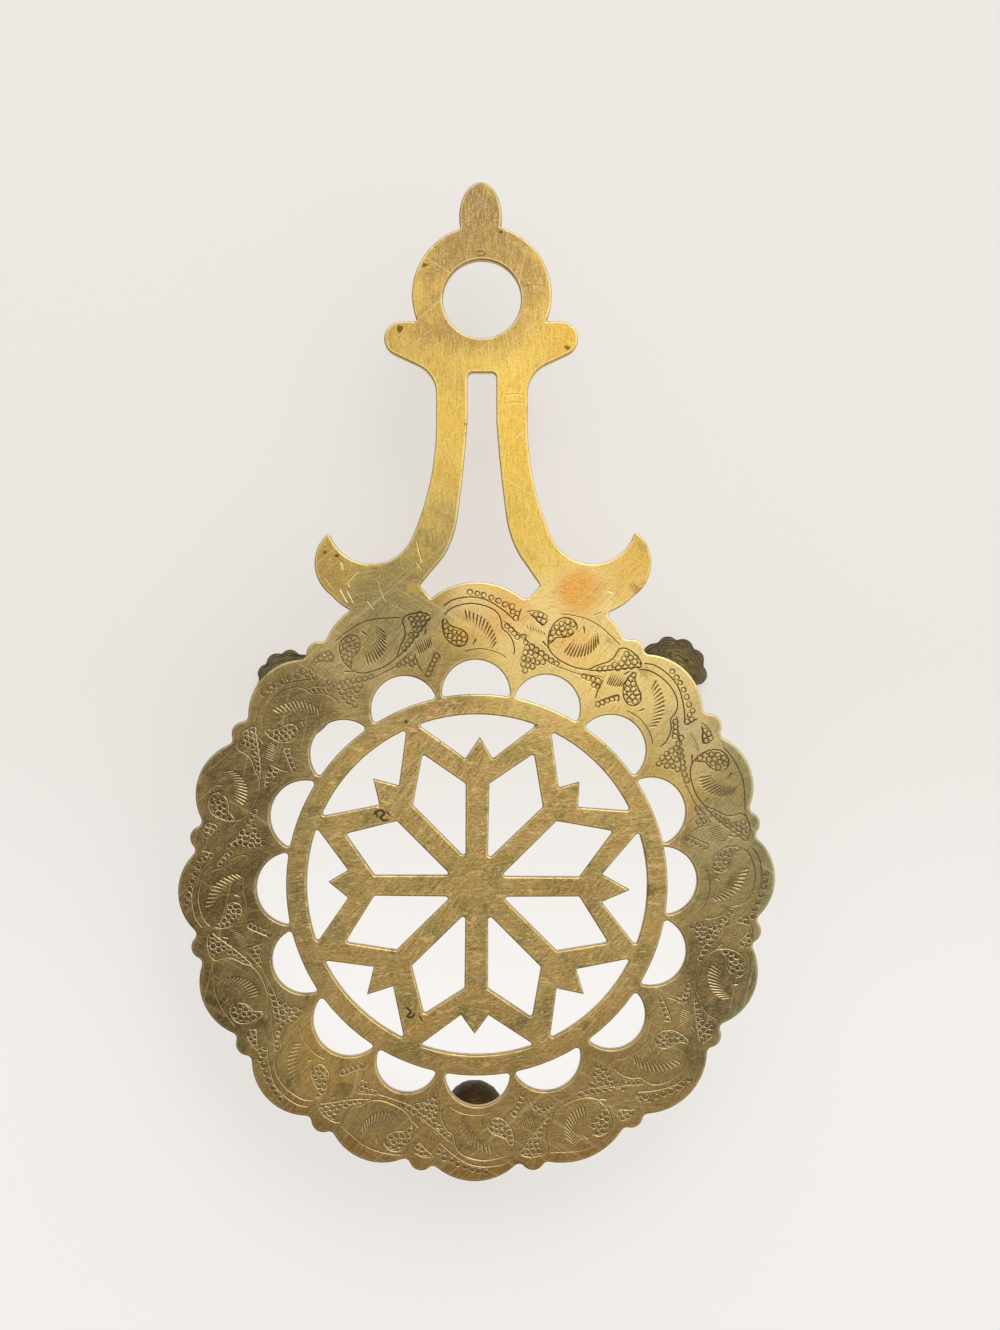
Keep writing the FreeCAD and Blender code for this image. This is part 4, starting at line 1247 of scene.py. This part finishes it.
# Floor, sky, lamp and camera. Places are in metres
studio = {
    "floor": tone(237, 232, 226),
    "floorPaint": tone(243, 239, 233),
    # painted light: a lighter floor tone near the trivet and towards the front
    "floorLitNear": tone(251, 248, 245),
    "floorFade": (-0.115, 0.015),   # from the near tone to the far one
    "nearReach": (0.26, 0.8),       # how far out the near tone goes
    "floorSize": 6.0,
    "shadowShare": 0.4,             # how much of the floor's own shading the camera sees
    "shadowReach": (0.22, 0.5),     # how far from the trivet that fades out
    "openShare": 0.12,              # how much of it is left under the openings
    "underRim": (0.066, 0.105),     # from that to the whole, outwards from the plate's middle
    "skyWay": (0.5, 0.87),          # towards the bright side of the room
    "skyDim": 0.22,                 # the sky's strength low on the dim side
    "skySteps": {"low": (-0.85, -0.25, 0.26), "middle": (-0.3, 0.3, 0.7), "high": (0.25, 0.85, 0.4)},
    "sky": tone(250, 250, 250),
    "cameraPlace": (7.0 * mm, 9.6 * mm, 499 * mm),
    "lens": 42,
    "sensor": 36,
    "lamps": {
        "overHandle": {"place": (0.25, 0.75, 0.85), "aim": (0, 0.02, 0.03), "size": 0.5, "power": 2},
    },
}


def buildStudio():
    half = studio["floorSize"] / 2
    corners = [(-half, -half, 0), (half, -half, 0), (half, half, 0), (-half, half, 0)]
    floor = newPiece("floor", newMesh("floor", corners, [(0, 1, 2, 3)]))
    material, web = newFinish("paleFloor")
    plain = web.add("ShaderNodeBsdfDiffuse", {}, {"Color": studio["floorPaint"]})
    place = web.add("ShaderNodeTexCoord", {}, {}, 3)
    along = web.add("ShaderNodeSeparateXYZ", {}, {"Vector": place}).part("Y")
    away = web.add("ShaderNodeVectorMath", {"operation": "LENGTH"}, {0: place}, 1)
    # painted light: the floor fades from the lighter near tone to the far one
    far = along.rise(*studio["floorFade"]).most(away.rise(*studio["nearReach"]))
    tint = web.mix(studio["floorLitNear"], studio["floor"], far)
    even = web.add("ShaderNodeEmission", {}, {"Color": tint, "Strength": 1.0})
    path = web.add("ShaderNodeLightPath")
    seen = path.most(path.part("Is Glossy Ray"))
    fromMiddle = web.add("ShaderNodeVectorMath", {"operation": "DISTANCE"}, {
        0: place, 1: (middle["x"], middle["y"], 0)}, 1)
    beyond = fromMiddle.rise(*studio["underRim"]) * (1 - studio["openShare"]) + studio["openShare"]
    shade = beyond * studio["shadowShare"] * (1 - away.rise(*studio["shadowReach"]))
    surface = web.add("ShaderNodeMixShader", {}, {0: seen * (1 - shade), 1: plain, 2: even})
    web.add("ShaderNodeOutputMaterial", {}, {"Surface": surface})
    floor.data.materials.append(material)
    world = bpy.data.worlds.new("softSky")
    world.use_nodes = True
    web = Web(world.node_tree)
    way = web.add("ShaderNodeTexCoord", {}, {}, 0)
    ahead = web.add("ShaderNodeSeparateXYZ", {}, {"Vector": way})
    lean = ahead * studio["skyWay"][0] + ahead.part("Y") * studio["skyWay"][1]
    level = studio["skyDim"]
    for low, high, gain in studio["skySteps"].values():
        level = lean.rise(low, high) * gain + level
    glow = web.add("ShaderNodeBackground", {}, {"Color": studio["sky"], "Strength": level})
    backdrop = web.add("ShaderNodeBackground", {}, {"Color": studio["floor"], "Strength": 1.0})
    path = web.add("ShaderNodeLightPath")
    sky = web.add("ShaderNodeMixShader", {}, {0: path, 1: glow, 2: backdrop})
    web.add("ShaderNodeOutputWorld", {}, {"Surface": sky})
    scene = bpy.context.scene
    scene.world = world
    for name, lamp in studio["lamps"].items():
        light = bpy.data.lights.new(name, "AREA")
        light.energy = lamp["power"]
        light.size = lamp["size"]
        holder = newPiece(name, light)
        holder.location = lamp["place"]
        aim = Vector(lamp["aim"]) - Vector(lamp["place"])
        holder.rotation_euler = aim.to_track_quat("-Z", "Y").to_euler()
    eye = bpy.data.cameras.new("camera")
    eye.lens = studio["lens"]
    eye.sensor_width = studio["sensor"]
    camera = newPiece("camera", eye)
    camera.location = studio["cameraPlace"]
    scene.camera = camera
    scene.view_settings.view_transform = "Standard"
    print("floor, sky, lamp and camera set")


buildStudio()
